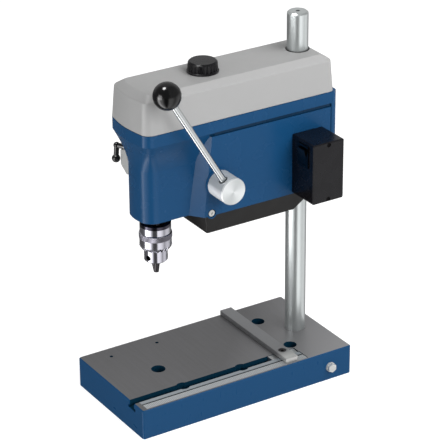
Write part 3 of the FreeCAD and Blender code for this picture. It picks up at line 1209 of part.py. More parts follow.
def quill_lock():
    """Lock screw for the quill with its black lever, and the bent plate beside it."""
    turn = Rotation(Vector(0, 0, 1), size("lock_angle")).multiply(TURN_X)
    tip, neck = "(quill_radius + run_gap)", "(lock_reach - lock_ball * 2)"
    screw = rod("LockScrew", "lock_screw", "lock_reach - %s" % tip, ("0", "0", tip))
    screw = group("LockScrewOnly", [screw])
    place(screw, "0", SPINDLE_Y, "head_z + lock_z", turn)
    piece(screw, "quill_lock_screw")
    collar = rod("LockCollar", "lock_collar", "lock_reach - " + neck, ("0", "0", neck))
    ends = []
    for name, radius, along in (("LockUpper", "lock_knob", "0"), ("LockLower", "lock_ball", "lock_length")):
        ball = doc.addObject("Part::Sphere", name)
        drive(ball, "Radius", radius)
        ends.append(place(ball, along, "0", "lock_reach"))
    waist = rod("LockWaist", "lock_collar", "lock_length", ("0", "0", "lock_reach"), TURN_X)
    bore = ("0", "0", "quill_radius")
    hole = rod("LockHole", "lock_screw + fit_gap / 5", "lock_reach - quill_radius", bore)
    lever = cut("LockLever", fuse("LockLeverBlank", ends + [collar, waist]), hole)
    lean = turn.multiply(Rotation(Vector(0, 0, 1), size("lock_lean")))
    place(lever, "0", SPINDLE_Y, "head_z + lock_z", lean)
    piece(lever, "quill_lock_lever")
    body = new_body("LockBracket")
    leaf = [("plate_in + fit_gap", "plate_foot"), ("plate_turn", "plate_foot"), ("plate_out", "plate_low"),
            ("plate_out", "plate_top", "1"), ("plate_in + fit_gap", "plate_top")]
    pad(body, outline(body, leaf, "-plate_thick / 2", "XZ_Plane"), "plate_thick")
    rib = rectangle("plate_turn - plate_rib / 2", "plate_turn + plate_rib / 2", "plate_foot + plate_rib",
                    "plate_top - plate_rib")
    pad(body, outline(body, rib, "0", "XZ_Plane"), "(plate_thick + plate_rib) / 2")
    place(body, "0", SPINDLE_Y, "head_z", Rotation(Vector(0, 0, 1), size("lock_angle")))
    return piece(body, "lock_bracket")


def cover_level(body, lean, slope, height, wall="0"):
    """Outline of the top cover where its side has leaned and sloped in by two shares."""
    inset = "(cover_lean * %.3f + cover_slope_in * %.3f + %s)" % (lean, slope, wall)
    return outline(body, bowed(
        "rim_half - " + inset, "rim_front - " + inset, "rim_side - " + inset,
        CASTING_REAR + " - cover_short - " + inset, "rim_corner - 0.45 * " + inset, "rim_bow",
        "rear_corner - 0.45 * " + inset), height)


def top_cover():
    """Cover over the drive: a shadow gap at its foot, leaning sides and a sloped band round its top."""
    body = new_body("Cover")
    rise, drop = "(cover_high - cover_slope_down)", "cover_slope_down"
    pad(body, cover_level(body, 0, 0, "0", "cover_gap_in"), "cover_gap")
    skin = [(0, 0, "cover_gap"), (0.97, 0, rise + " * 0.97"), (1, 0.015, rise + " - 0.25"),
            (1, 0.1, rise + " + 0.1 * " + drop), (1, 0.9, rise + " + 0.9 * " + drop),
            (1, 0.99, "cover_high - 0.15"), (1, 1.1, "cover_high")]
    loft(body, [cover_level(body, *spot) for spot in skin])
    room = [(0, 0, "0"), (1, 0, rise + " - cover_wall / 2"), (1, 1, "cover_high - cover_wall")]
    loft(body, [cover_level(body, *spot, wall="cover_wall") for spot in room], adds=False)
    holes = [("0", "throat", "ring_outer + fit_gap"), ("0", "knob_y", "stud_radius + 0.5")]
    pocket(body, circles(body, holes, "cover_high"), "cover_high")
    return in_head(body, "top_cover", "0", "seam_z")


def column_ring():
    """Black ring that lines the cover's hole round the column."""
    ring = cut("ColumnRing", rod("RingOuter", "ring_outer", "cover_wall + 1", ("0", "0", "0")),
               rod("RingInner", "column_radius + run_gap", "cover_wall + 3", ("0", "0", "-1")))
    return in_head(ring, "column_ring", "throat", "seam_z + cover_high - cover_wall - 0.8")


def cover_knob():
    """Fluted knob that holds the top cover down, with its flange."""
    high, radius = "knob_high", "knob_radius"
    blank = turned("KnobBlank", [
        ("stud_radius + fit_gap", "0"), ("knob_flange", "0"), ("knob_flange", "1.6"), (radius, "2.2"),
        (radius + " - 0.6", high + " - knob_bevel"), (radius + " - 0.6 - knob_bevel", high),
        ("0", high), ("0", high + " - 3"), ("stud_radius + fit_gap", high + " - 3")])
    count = int(size("knob_flutes"))
    flutes = []
    for index in range(count):
        turn = Rotation(Vector(0, 0, 1), 360.0 * index / count)
        where = turn.multVec(Vector(size(radius) + 0.1, 0, 2.4))
        flutes.append(Part.makeCylinder(size("flute_radius"), size(high), where, Vector(0, 0, 1)))
    tools = doc.addObject("Part::Feature", "KnobFlutes")
    tools.Shape = Part.makeCompound(flutes)
    return in_head(cut("CoverKnob", blank, tools), "cover_knob", "knob_y", "seam_z + cover_high + fit_gap")


def cover_stud():
    """Threaded stud in the deck for the cover knob."""
    stud = rod("CoverStud", "stud_radius", "seam_z + cover_high + knob_high - 4 - bay_floor", ("0", "0", "0"))
    foot = hexagon("StudFoot", "stud_flats", "3", ("0", "0", "0"))
    return in_head(fuse("Stud", [stud, foot]), "cover_stud", "knob_y", "bay_floor")


def switch_box():
    """Black switch box, open on its outer side, and its lid."""
    body = new_body("SwitchBox")
    shell = rectangle("0", "box_deep", "0", "box_high", "box_corner")
    pad(body, outline(body, shell, "0", "YZ_Plane"), "box_out")
    room = rectangle("box_wall", "box_deep - box_wall", "box_wall", "box_high - box_wall")
    pocket(body, outline(body, room, "box_out", "YZ_Plane"), "box_out - box_wall")
    middle = "box_deep / 2"
    for edge in ("lid_screw_in", "box_high - lid_screw_in"):
        post = circles(body, [(middle, edge, "lid_screw_in - 0.4")], "0", "YZ_Plane")
        pad(body, post, "box_out")
        thread = circles(body, [(middle, edge, "lid_screw + fit_gap")], "box_out", "YZ_Plane")
        pocket(body, thread, "8")
    low, high = "frame_out - frame_wide / 2 + 1", "frame_out + frame_wide / 2 - 1"
    window = rectangle(low, high, "frame_up - frame_high / 2 + 1", "frame_up + frame_high / 2 - 1")
    pocket(body, outline(body, window, "1", "XZ_Plane"), "box_wall + 2")
    place(body, "rim_half", SPINDLE_Y + " + box_y", "head_z + box_z")
    piece(body, "switch_box")
    lid = new_body("Lid")
    pad(lid, outline(lid, shell, "0", "YZ_Plane"), "lid_thick")
    outer = size("lid_thick")
    soften(lid, lambda edge: abs(edge.BoundBox.XMin - outer) < 1e-4, "lid_edge", "Chamfer")
    for edge in ("lid_screw_in", "box_high - lid_screw_in"):
        head = circles(lid, [(middle, edge, "lid_screw_head + 0.2")], "lid_thick", "YZ_Plane")
        pocket(lid, head, "lid_thick / 2")
        hole = circles(lid, [(middle, edge, "lid_screw + fit_gap")], "lid_thick", "YZ_Plane")
        pocket(lid, hole, "lid_thick")
    place(lid, "rim_half + box_out", SPINDLE_Y + " + box_y", "head_z + box_z")
    piece(lid, "switch_box_lid")
    screws = []
    for index, edge in enumerate(("lid_screw_in", "box_high - lid_screw_in")):
        stem = rod("LidStem%d" % index, "lid_screw", "lid_thick / 2 + 6", ("-6", middle, edge), TURN_X)
        seat = ("lid_thick / 2", middle, edge)
        head = rod("LidHead%d" % index, "lid_screw_head", "lid_thick / 2 * 0.7", seat, TURN_X)
        screws.append(fuse("LidScrew%d" % index, [stem, head]))
    screws = group("LidScrews", screws)
    place(screws, "rim_half + box_out", SPINDLE_Y + " + box_y", "head_z + box_z")
    return piece(screws, "lid_screws")


def power_switch():
    """Rocker switch in the box's front: frame with its body, and the rocker on its pivot."""
    body = new_body("SwitchFrame")
    plate = rectangle("-frame_wide / 2", "frame_wide / 2", "-frame_high / 2", "frame_high / 2", "0.8")
    pad(body, outline(body, plate, "0", "XZ_Plane"), "frame_proud")
    wide, high = "(frame_wide / 2 - 1.1)", "(frame_high / 2 - 1.1)"
    can = rectangle("-" + wide, wide, "-" + high, high)
    pad(body, outline(body, can, "-16", "XZ_Plane"), "16")
    wide, high = "(frame_wide / 2 - frame_border)", "(frame_high / 2 - frame_border)"
    well = rectangle("-" + wide, wide, "-" + high, high)
    pocket(body, outline(body, well, "frame_proud", "XZ_Plane"), "frame_proud + 7")
    pivot = [("0", "0", "rocker_pivot + fit_gap")]
    pivot = circles(body, pivot, "frame_wide / 2 - frame_border / 2", "YZ_Plane")
    pocket(body, pivot, "frame_wide - frame_border")
    spot = ("rim_half + frame_out", SPINDLE_Y + " + box_y", "head_z + box_z + frame_up")
    place(body, *spot)
    piece(body, "switch_frame")
    rocker = new_body("Rocker")
    wide = "(frame_wide / 2 - frame_border - run_gap)"
    reach = "(frame_high / 2 - frame_border - 0.8)"
    front = "-(frame_proud + 1.6)"
    profile = [("4", "0"), ("-frame_proud", "-" + reach), (front, "-" + reach),
               ("-(frame_proud + 0.4)", "0"), (front, reach), ("-frame_proud", reach)]
    pad(rocker, outline(rocker, profile, "-" + wide, "YZ_Plane"), "2 * " + wide)
    half_pivot = "(frame_wide / 2 - frame_border / 2 - run_gap)"
    stubs = circles(rocker, [("0", "0", "rocker_pivot")], "-" + half_pivot, "YZ_Plane")
    pad(rocker, stubs, "2 * " + half_pivot)
    place(rocker, *spot, turn=Rotation(Vector(1, 0, 0), size("rocker_tilt")))
    return piece(rocker, "switch_rocker")


def cord_gland():
    """Gland in the back of the head, where a supply cord would enter."""
    rearward = Rotation(Vector(1, 0, 0), -90)
    flange = rod("GlandFlange", "gland_radius", "3", ("0", "0", "0"), rearward)
    nose = cone("GlandNose", "gland_radius - 1", "cord_radius + 1", "9", ("0", "3", "0"), rearward)
    bore = rod("GlandBore", "cord_radius", "14", ("0", "-0.5", "0"), rearward)
    gland = cut("Gland", fuse("GlandBlank", [flange, nose]), bore)
    return in_head(gland, "cord_gland", CASTING_REAR, "head_bolt_z")


def check_document():
    """Stop if any object failed or any piece has no sound shape."""
    doc.recompute()
    for part in doc.Objects:
        if {"Invalid", "Error"} & set(part.State):
            raise RuntimeError("%s (%s) is %s" % (part.Name, part.Label, part.State))
    for part in PIECES:
        if part.Shape.isNull() or not part.Shape.isValid() or not part.Shape.Solids:
            raise RuntimeError(part.Label + " has no sound shape")


for make in (base_casting, column, column_clamp_bolt, scale_rail, fence, column_bush, head_casting,
             under_tray, tray_screws, head_clamp_bolt, quill, key_screw, quill_bearings, pulley_bearing,
             spindle, chuck_body, jaws, jaw_nut, chuck_sleeve, drive_train, motor_screws, feed_shaft,
             feed_bushes, feed_sector, feed_hub, feed_lever, spring_housing, return_spring, quill_lock,
             top_cover, column_ring, cover_knob, cover_stud, switch_box, power_switch, cord_gland):
    make()
check_document()
os.makedirs("parts", exist_ok=True)
for part in PIECES:
    part.Shape.exportStep(os.path.join("parts", part.Label + ".step"))
    print("%-18s solids %d volume %.0f" % (part.Label, len(part.Shape.Solids), part.Shape.Volume))
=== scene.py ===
import math

import bmesh
import bpy
from mathutils import Matrix, Vector


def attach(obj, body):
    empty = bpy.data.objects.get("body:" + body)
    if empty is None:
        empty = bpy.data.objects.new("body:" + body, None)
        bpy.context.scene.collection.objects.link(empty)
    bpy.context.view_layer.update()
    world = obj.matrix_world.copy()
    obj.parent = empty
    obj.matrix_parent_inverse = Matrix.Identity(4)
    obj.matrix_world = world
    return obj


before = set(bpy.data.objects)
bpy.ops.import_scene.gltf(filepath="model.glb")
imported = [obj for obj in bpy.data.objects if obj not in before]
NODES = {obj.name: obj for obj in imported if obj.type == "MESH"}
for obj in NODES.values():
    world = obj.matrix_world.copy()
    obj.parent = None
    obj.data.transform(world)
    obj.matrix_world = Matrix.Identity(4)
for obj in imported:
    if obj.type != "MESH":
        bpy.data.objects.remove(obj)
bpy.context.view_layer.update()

WHITE = (1, 1, 1, 1)
BLUE = (0.0062, 0.052, 0.137, 1)

# Where a finish, a painted shade, a painted highlight or a painted reflection changes on its piece, in
# metres.
SPINDLE_Y = -0.0794
GROOVE_X = (0.0386, 0.0404)
GROOVE_Z = (0.3368, 0.3417)
GROOVE_FRONT_Y = -0.030
BED_TOP_Z = 0.0368
BED_EDGE_X = 0.0748
BED_EDGE_Y = 0.1438
SHOULDER_Z = 0.2262
KEY_HOLE_Z = 0.1882
KEY_HOLE_RADIUS = 0.0033
KEY_HOLE_INNER = 0.008
HUB_Y = -0.0189
HUB_Z = 0.2793
FENCE_LIT_END_X = (0.050, 0.066)
RAIL_OUTER_X = 0.0625
RAIL_SLIT_Z = 0.0366
RAIL_MARK_STEP = 0.002

# Range of x + y, in metres, over which a painted sheen makes the bed's top lighter towards the rear right.
BED_PAINTED_SHEEN = (0.02, 0.22)

# The chuck's key holes: how many, and the angle of one of them.
KEY_HOLE_COUNT = 3
KEY_HOLE_ANGLE = math.radians(49)

# Painted highlights on the hub, angles in radians: a painted fan of highlight and turning rings on its face,
# and a painted bright highlight band along its side.
HIGHLIGHT_FAN_ANGLE = -0.5
HIGHLIGHT_FAN_SHARE = 0.5
RING_SHARE = 0.12
RINGS_PER_METRE = 9000.0
FACE_RANGE = (-0.6, 0.6)
HIGHLIGHT_BAND_ANGLE = 3.4
HIGHLIGHT_BAND_RANGE = (0.84, 0.98)

# A surface faces along an axis where its normal has more than this share along it.
FACING_UP = 0.98
FACING_OUT = 0.9

# Noise stays mostly between these two values.
NOISE_RANGE = (0.3, 0.7)

# Depths that a bump stands for, in metres.
COAT_DEPTH = 0.0001
METAL_DEPTH = 0.00005

# Inputs and output of a Mix node, by its data type.
MIX_SOCKETS = {"FLOAT": (2, 3, 0), "RGBA": (6, 7, 2)}

# What glossy rays meet round the compass, as degrees from +X and brightness, below and above the horizon.
PEAK = 8.0
BELOW = ((0, 1.5), (8, 1.4), (20, 1.1), (30, 0.65), (36, 0.55), (50, 0.9), (63, 1.0), (82, 0.8), (98, 0.24),
         (180, 0.14), (218, 0.14), (240, 0.2), (250, 0.7), (256, 6.0), (268, 6.0), (274, 2.6), (294, 1.8),
         (301, 0.8), (313, 0.1), (339, 0.1), (346, 1.5), (355, 1.5), (360, 1.5))
ABOVE = ((0, 0.4), (90, 0.32), (120, 0.56), (180, 0.56), (215, 0.24), (300, 0.2), (345, 0.2), (360, 0.4))
HORIZON = (-0.1, 0.1)
SKY_SEEN = 1.1
SKY_LIGHT = 0.45

FLOOR_HALF = 30.0
FLOOR_TONE = (0.35, 0.35, 0.35, 1)
FLOOR_GLOW = 0.45
FLOOR_GLOW_SEEN = 0.85

# Name, shape, place, aim, width, power, seen by diffuse rays, seen by glossy rays.
LAMPS = (
    ("key", "SQUARE", (1.9, 0.3, 1.3), (0, 0, 0.25), 1.4, 32, True, False),
    ("front", "SQUARE", (0.15, -1.7, 0.47), (0, 0, 0.3), 0.9, 12, True, True),
    ("top", "SQUARE", (0.75, 0.85, 1.8), (0, 0, 0.2), 1.2, 20, True, False),
    ("shine", "DISK", (-0.1, -0.5, 1.8), (0.05, 0, 0.3), 0.5, 16, False, True),
)

CAMERA_LENS = 180
CAMERA_SENSOR = 36
CAMERA_REACH = 100
CAMERA_PLACE = (1.957412, -1.220877, 1.313302)
CAMERA_RIGHT = (0.533824, 0.845571, -0.006414)
CAMERA_UP = (-0.361497, 0.235063, 0.902255)
CAMERA_BACK = (0.764429, -0.479327, 0.431154)

# Band of diamonds on the chuck's sleeve: count round and high, and its sizes in metres.
KNURL_STEPS = 144
KNURL_ROWS = 8
KNURL_Z = (0.2110, 0.2176)
KNURL_INNER = 0.01885
KNURL_VALLEY = 0.0190
KNURL_CREST = 0.01928


def linear(value):
    """Linear light of an sRGB value from 0 to 255."""
    share = value / 255
    return share / 12.92 if share <= 0.04045 else ((share + 0.055) / 1.055) ** 2.4


def colour(red, green, blue):
    """Linear colour of an sRGB triple."""
    return (linear(red), linear(green), linear(blue), 1)


def shade(base, factor):
    """A colour made darker or lighter by a factor."""
    return tuple(min(1.0, channel * factor) for channel in base[:3]) + (1,)


class Graph:
    """Node tree of a material or of the world."""

    def __init__(self, owner):
        owner.use_nodes = True
        self.tree = owner.node_tree

    def feed(self, socket, value):
        """Link an output to a socket, or set the socket's own value."""
        if isinstance(value, bpy.types.NodeSocket):
            self.tree.links.new(value, socket)
        else:
            socket.default_value = value

    def node(self, kind, inputs=(), **settings):
        """New node with its settings, and with its inputs given by name or number."""
        made = self.tree.nodes.new("ShaderNode" + kind)
        for name, value in settings.items():
            setattr(made, name, value)
        for key, value in dict(inputs).items():
            self.feed(made.inputs[key], value)
        return made

    def maths(self, operation, *values):
        """Arithmetic on one value or more."""
        return self.node("Math", dict(enumerate(values)), operation=operation).outputs[0]

    def over(self, value, limit):
        """1 where a value is greater than a limit, else 0."""
        return self.maths("GREATER_THAN", value, limit)

    def under(self, value, limit):
        """1 where a value is less than a limit, else 0."""
        return self.maths("LESS_THAN", value, limit)

    def every(self, first, *others):
        """1 where all of the tests give 1, else 0."""
        for other in others:
            first = self.maths("MULTIPLY", first, other)
        return first

    def between(self, value, limits):
        """1 where a value lies between two limits, else 0."""
        return self.every(self.over(value, limits[0]), self.under(value, limits[1]))

    def distance(self, first, second):
        """Length that two sides at a right angle span."""
        squares = [self.maths("MULTIPLY", side, side) for side in (first, second)]
        return self.maths("SQRT", self.maths("ADD", *squares))

    def ramp(self, fac, low, high, start=0.0, end=1.0):
        """Value that runs from low to high as fac goes from start to end."""
        return self.node("MapRange", {"Value": fac, "From Min": start, "From Max": end,
                                      "To Min": low, "To Max": high}).outputs[0]

    def mix(self, fac, low, high, kind="RGBA"):
        """Colour between two colours, or value between two values when the kind is FLOAT."""
        first, second, result = MIX_SOCKETS[kind]
        return self.node("Mix", {0: fac, first: low, second: high}, data_type=kind).outputs[result]


class Paint(Graph):
    """Material around one Principled shader."""

    def __init__(self, name, **sockets):
        self.material = bpy.data.materials.new(name)
        super().__init__(self.material)
        self.shader = self.tree.nodes["Principled BSDF"]
        coordinates = self.node("TexCoord").outputs
        self.place, self.normal = coordinates["Object"], coordinates["Normal"]
        self.set(**sockets)

    def set(self, **sockets):
        """Feed shader inputs, with underscores for the spaces in their names."""
        for name, value in sockets.items():
            self.feed(self.shader.inputs[name.replace("_", " ")], value)

    def axis(self, name):
        """One object coordinate, in metres."""
        return self.node("SeparateXYZ", {"Vector": self.place}).outputs[name]

    def facing(self, name, limit):
        """1 where the surface faces along an axis, else 0."""
        return self.over(self.node("SeparateXYZ", {"Vector": self.normal}).outputs[name], limit)

    def noise(self, scale, detail, stretch=(1, 1, 1), rough=0.5):
        """Noise on object coordinates; its marks are long on an axis with a small stretch."""
        place = self.node("Mapping", {"Vector": self.place, "Scale": stretch}).outputs[0]
        return self.node("TexNoise", {"Vector": place, "Scale": scale, "Detail": detail,
                                      "Roughness": rough}).outputs["Fac"]

    def vary(self, marks, low, high):
        """Value that follows the marks from low to high."""
        return self.ramp(marks, low, high, *NOISE_RANGE)

    def tint(self, marks, low, high):
        """Colour that follows the marks from low to high."""
        return self.mix(self.vary(marks, 0, 1), low, high)

    def bump(self, height, strength, depth=METAL_DEPTH):
        """Fine relief."""
        made = self.node("Bump", {"Height": height, "Strength": strength, "Distance": depth})
        self.set(Normal=made.outputs[0])


def enamel(name, base, rough=0.24):
    """Semi-gloss enamel with faint orange peel."""
    paint = Paint(name, Metallic=0.0, Specular_IOR_Level=0.18)
    paint.set(Base_Color=paint.tint(paint.noise(9, 4), shade(base, 0.98), shade(base, 1.02)),
              Roughness=paint.vary(paint.noise(40, 3), rough - 0.03, rough + 0.06))
    paint.bump(paint.noise(900, 2), 0.06, COAT_DEPTH)
    return paint


def plastic(name, base, rough=0.26, grain=0.05, scale=1600, shine=0.3, drift=0.05):
    """Moulded plastic with a fine texture."""
    paint = Paint(name, Metallic=0.0, Specular_IOR_Level=shine)
    paint.set(Base_Color=paint.tint(paint.noise(14, 3), shade(base, 1 - drift), shade(base, 1 + drift)),
              Roughness=paint.vary(paint.noise(60, 3), rough - 0.04, rough + 0.05))
    paint.bump(paint.noise(scale, 2), grain, COAT_DEPTH)
    return paint


def metal(name, base, rough=0.3, stretch=(1, 1, 1), scale=200, spread=0.05, dark=0.06, relief=0.01,
          metallic=1.0):
    """Machined metal with marks in its tone, its gloss and its relief."""
    paint = Paint(name, Metallic=metallic)
    marks = paint.noise(scale, 4, stretch, 0.6)
    paint.set(Base_Color=paint.tint(marks, shade(base, 1 - dark), base),
              Roughness=paint.vary(marks, rough, rough + spread))
    paint.bump(marks, relief)
    return paint


def head_finish_and_groove_shade():
    """Blue enamel, with painted shade darkening the shadow grooves above the side panels."""
    paint = enamel("blue_enamel_and_groove_shade", BLUE)
    plain = paint.shader.inputs["Base Color"].links[0].from_socket
    # Painted shade: the grooves above the side panels are coloured darker, as shade falls in them.
    painted_groove_shade = paint.every(paint.between(paint.maths("ABSOLUTE", paint.axis("X")), GROOVE_X),
                         paint.between(paint.axis("Z"), GROOVE_Z),
                         paint.over(paint.axis("Y"), GROOVE_FRONT_Y))
    paint.set(Base_Color=paint.mix(painted_groove_shade, plain, colour(9, 42, 68)))
    return paint


def bed_finish_and_painted_light():
    """Blue paint all round and the top ground bare, with painted shade darkening the grooves, holes and inner
    faces and a painted sheen lightening the top towards the rear right.
    """
    paint = Paint("bed_paint_ground_top_and_painted_light", Specular_IOR_Level=0.15)
    on_top = paint.every(paint.facing("Z", FACING_UP), paint.over(paint.axis("Z"), BED_TOP_Z))
    # Painted shade: faces inside the bed's outer edge, in its grooves, holes and hollow, are coloured dark.
    painted_shade_inside = paint.every(paint.under(paint.maths("ABSOLUTE", paint.axis("X")), BED_EDGE_X),
                         paint.under(paint.maths("ABSOLUTE", paint.axis("Y")), BED_EDGE_Y))
    marks = paint.noise(60, 4, (0.25, 6, 1), 0.6)
    ground = paint.tint(marks, colour(109, 109, 110), colour(115, 115, 117))
    # Painted sheen: the ground top is coloured lighter towards the rear right, as a reflection would light
    # it.
    painted_sheen_rear_right = paint.ramp(paint.maths("ADD", paint.axis("Y"), paint.axis("X")), 0, 1, *BED_PAINTED_SHEEN)
    ground = paint.mix(painted_sheen_rear_right, ground, colour(160, 160, 162))
    paint_and_painted_shade = paint.mix(painted_shade_inside, BLUE, colour(9, 42, 60))
    paint.set(Base_Color=paint.mix(on_top, paint_and_painted_shade, ground),
              Metallic=paint.ramp(on_top, 0.0, 0.7),
              Roughness=paint.maths("ADD", paint.vary(marks, 0.27, 0.31), paint.ramp(on_top, 0.0, 0.12)))
    paint.bump(marks, 0.02)
    return paint


def chuck_finish_and_painted_light():
    """Bright body with a painted dark reflection on the shoulder and painted shade round the key holes."""
    paint = Paint("chuck_body", Metallic=1.0)
    across, high = paint.axis("X"), paint.axis("Z")
    along = paint.maths("SUBTRACT", paint.axis("Y"), SPINDLE_Y)
    reach = paint.distance(along, across)
    sector = 2 * math.pi / KEY_HOLE_COUNT
    angle = paint.maths("SUBTRACT", paint.maths("ARCTAN2", along, across), KEY_HOLE_ANGLE)
    # Five half turns keep the angle positive and put a hole in the middle of each sector.
    turn = paint.maths("MODULO", paint.maths("ADD", angle, 5 * math.pi), sector)
    aside = paint.maths("MULTIPLY", paint.maths("SUBTRACT", turn, sector / 2), reach)
    off_hole = paint.distance(aside, paint.maths("SUBTRACT", high, KEY_HOLE_Z))
    # Painted shade: a dark disc round each key hole stands for the shaded opening of the hole.
    painted_hole_shade = paint.every(paint.under(off_hole, KEY_HOLE_RADIUS), paint.over(reach, KEY_HOLE_INNER))
    # Painted reflection: the shoulder is coloured dark, standing for the dark head mirrored in it.
    painted_reflection_shoulder = paint.over(high, SHOULDER_Z)
    marks = paint.noise(300, 3, (1, 1, 20))
    bright = paint.mix(marks, colour(184, 183, 193), colour(196, 195, 204))
    body = paint.mix(painted_reflection_shoulder, bright, colour(64, 62, 72))
    paint.set(Base_Color=paint.mix(painted_hole_shade, body, colour(14, 14, 17)),
              Roughness=paint.maths("ADD", paint.ramp(painted_reflection_shoulder, 0.11, 0.14), paint.ramp(painted_hole_shade, 0.0, 0.4)))
    paint.bump(marks, 0.01)
    return paint


def hub_finish_and_highlights():
    """Turned aluminium, its face with turning rings and a painted fan of highlight, its side with a painted
    bright highlight band.
    """
    paint = Paint("turned_hub_and_painted_highlights", Roughness=0.34)
    on_face = paint.facing("X", FACING_OUT)
    along = paint.maths("SUBTRACT", paint.axis("Y"), HUB_Y)
    high = paint.maths("SUBTRACT", paint.axis("Z"), HUB_Z)
    angle = paint.maths("ARCTAN2", high, along)
    # Painted highlight: a fan of light and dark by angle round the axis, as turned metal reflects.
    painted_highlight_fan = paint.maths("COSINE", paint.maths("MULTIPLY", paint.maths("SUBTRACT", angle, HIGHLIGHT_FAN_ANGLE), 2.0))
    rings = paint.maths("SINE", paint.maths("MULTIPLY", paint.distance(along, high), RINGS_PER_METRE))
    rings_and_painted_highlight = paint.maths("ADD", paint.maths("MULTIPLY", painted_highlight_fan, HIGHLIGHT_FAN_SHARE),
                        paint.maths("MULTIPLY", rings, RING_SHARE))
    face = paint.mix(paint.ramp(rings_and_painted_highlight, 0, 1, *FACE_RANGE), colour(190, 194, 195), colour(228, 231, 232))
    # Painted highlight: a bright band along the side at one angle round the axis.
    painted_highlight_band = paint.maths("COSINE", paint.maths("SUBTRACT", angle, HIGHLIGHT_BAND_ANGLE))
    side = paint.mix(paint.ramp(painted_highlight_band, 0, 1, *HIGHLIGHT_BAND_RANGE), colour(176, 180, 182), colour(250, 250, 250))
    paint.set(Base_Color=paint.mix(on_face, side, face), Metallic=paint.ramp(on_face, 0.2, 0.5))
    paint.bump(paint.noise(300, 3, (20, 1, 1)), 0.02)
    return paint


def fence_finish_and_light():
    """Milled bar, grey with age, with painted light brightening its end."""
    paint = Paint("milled_fence", Metallic=0.85)
    marks = paint.noise(180, 4, (1, 20, 1), 0.6)
    grey = paint.mix(marks, colour(134, 135, 137), colour(150, 151, 153))
    # Painted light: the bar's end is coloured bright, where its end face catches the light.
    end = paint.ramp(paint.axis("X"), 0.0, 1.0, *FENCE_LIT_END_X)
    paint.set(Base_Color=paint.mix(end, grey, colour(214, 214, 212)), Roughness=paint.vary(marks, 0.36, 0.42))
    paint.bump(marks, 0.03)
    return paint


def rail_finish_and_shade():
    """Aluminium with painted shade darkening its slit and a fine graduation across the outer strip."""
    paint = Paint("graduated_rail", Metallic=0.8)
    marks = paint.noise(180, 3, (1, 12, 1))
    outer = paint.over(paint.axis("X"), RAIL_OUTER_X)
    wave = paint.maths("SINE", paint.maths("MULTIPLY", paint.axis("Y"), 2 * math.pi / RAIL_MARK_STEP))
    mark = paint.every(paint.over(wave, 0.6), outer)
    plain = paint.mix(outer, colour(168, 176, 182), colour(204, 208, 210))
    plain = paint.mix(paint.maths("MULTIPLY", marks, 0.2), plain, colour(150, 152, 156))
    marked = paint.mix(mark, plain, colour(150, 155, 160))
    # Painted shade: the slit's faces are coloured dark, as shade falls in it.
    painted_shade_slit = paint.under(paint.axis("Z"), RAIL_SLIT_Z)
    paint.set(Base_Color=paint.mix(painted_shade_slit, marked, colour(16, 30, 40)), Roughness=paint.vary(marks, 0.34, 0.4))
    paint.bump(marks, 0.02)
    return paint


cover_grey = plastic("cover_grey", colour(155, 155, 155), 0.34, 0.08, 1200, 0.28, 0.01)
black_tray = plastic("black_moulding", colour(20, 19, 19), 0.5, 0.3)
black_box = plastic("black_box", colour(9, 8, 12), shine=0.42)
black_satin = plastic("black_satin", colour(12, 11, 14), grain=0.08)
black_gloss = plastic("black_gloss", colour(3, 3, 4), 0.16, 0.0, 60, 0.45)
bracket_grey = plastic("bracket_plate", colour(160, 161, 160), 0.5, scale=300)
rubber = plastic("rubber", colour(25, 25, 25), 0.7, 0.4, shine=0.4)
column_steel = metal("column_steel", colour(208, 213, 213), 0.3, (1, 1, 14), 90, 0.03, 0.04, metallic=0.88)
steel = metal("ground_steel", colour(205, 207, 208), 0.3, (1, 1, 14), 90, 0.03, 0.04)
zinc = metal("zinc_plate", colour(208, 209, 207), 0.24, scale=120, spread=0.04, metallic=0.5)
dark_steel = metal("dark_steel", colour(70, 68, 70), scale=600, spread=0.1, dark=0.2, relief=0.05)
black_steel = metal("black_steel", colour(28, 27, 28), 0.4, scale=600, spread=0.1, dark=0.2, relief=0.05)
chrome = metal("chrome", colour(191, 190, 200), 0.13)
bright_rod = metal("bright_rod", colour(206, 209, 210), 0.2, scale=300, spread=0.04)
knurled = metal("knurled_steel", colour(140, 138, 148), 0.38, dark=0.1, relief=0.02)
turned = metal("turned_aluminium", colour(225, 227, 228), 0.3, (14, 1, 1), 260, 0.1, 0.1, 0.05)
bronze = metal("bronze", colour(160, 130, 80), 0.35, scale=300, spread=0.1, dark=0.2, relief=0.05)
motor_grey = enamel("motor_grey", colour(60, 60, 62), 0.45)
head_paint_and_groove_shade, bed_paint_and_painted_light, chuck_coat_and_painted_light, hub_coat_and_highlights = head_finish_and_groove_shade(), bed_finish_and_painted_light(), chuck_finish_and_painted_light(), hub_finish_and_highlights()
fence_coat_and_light, rail_coat_and_shade = fence_finish_and_light(), rail_finish_and_shade()

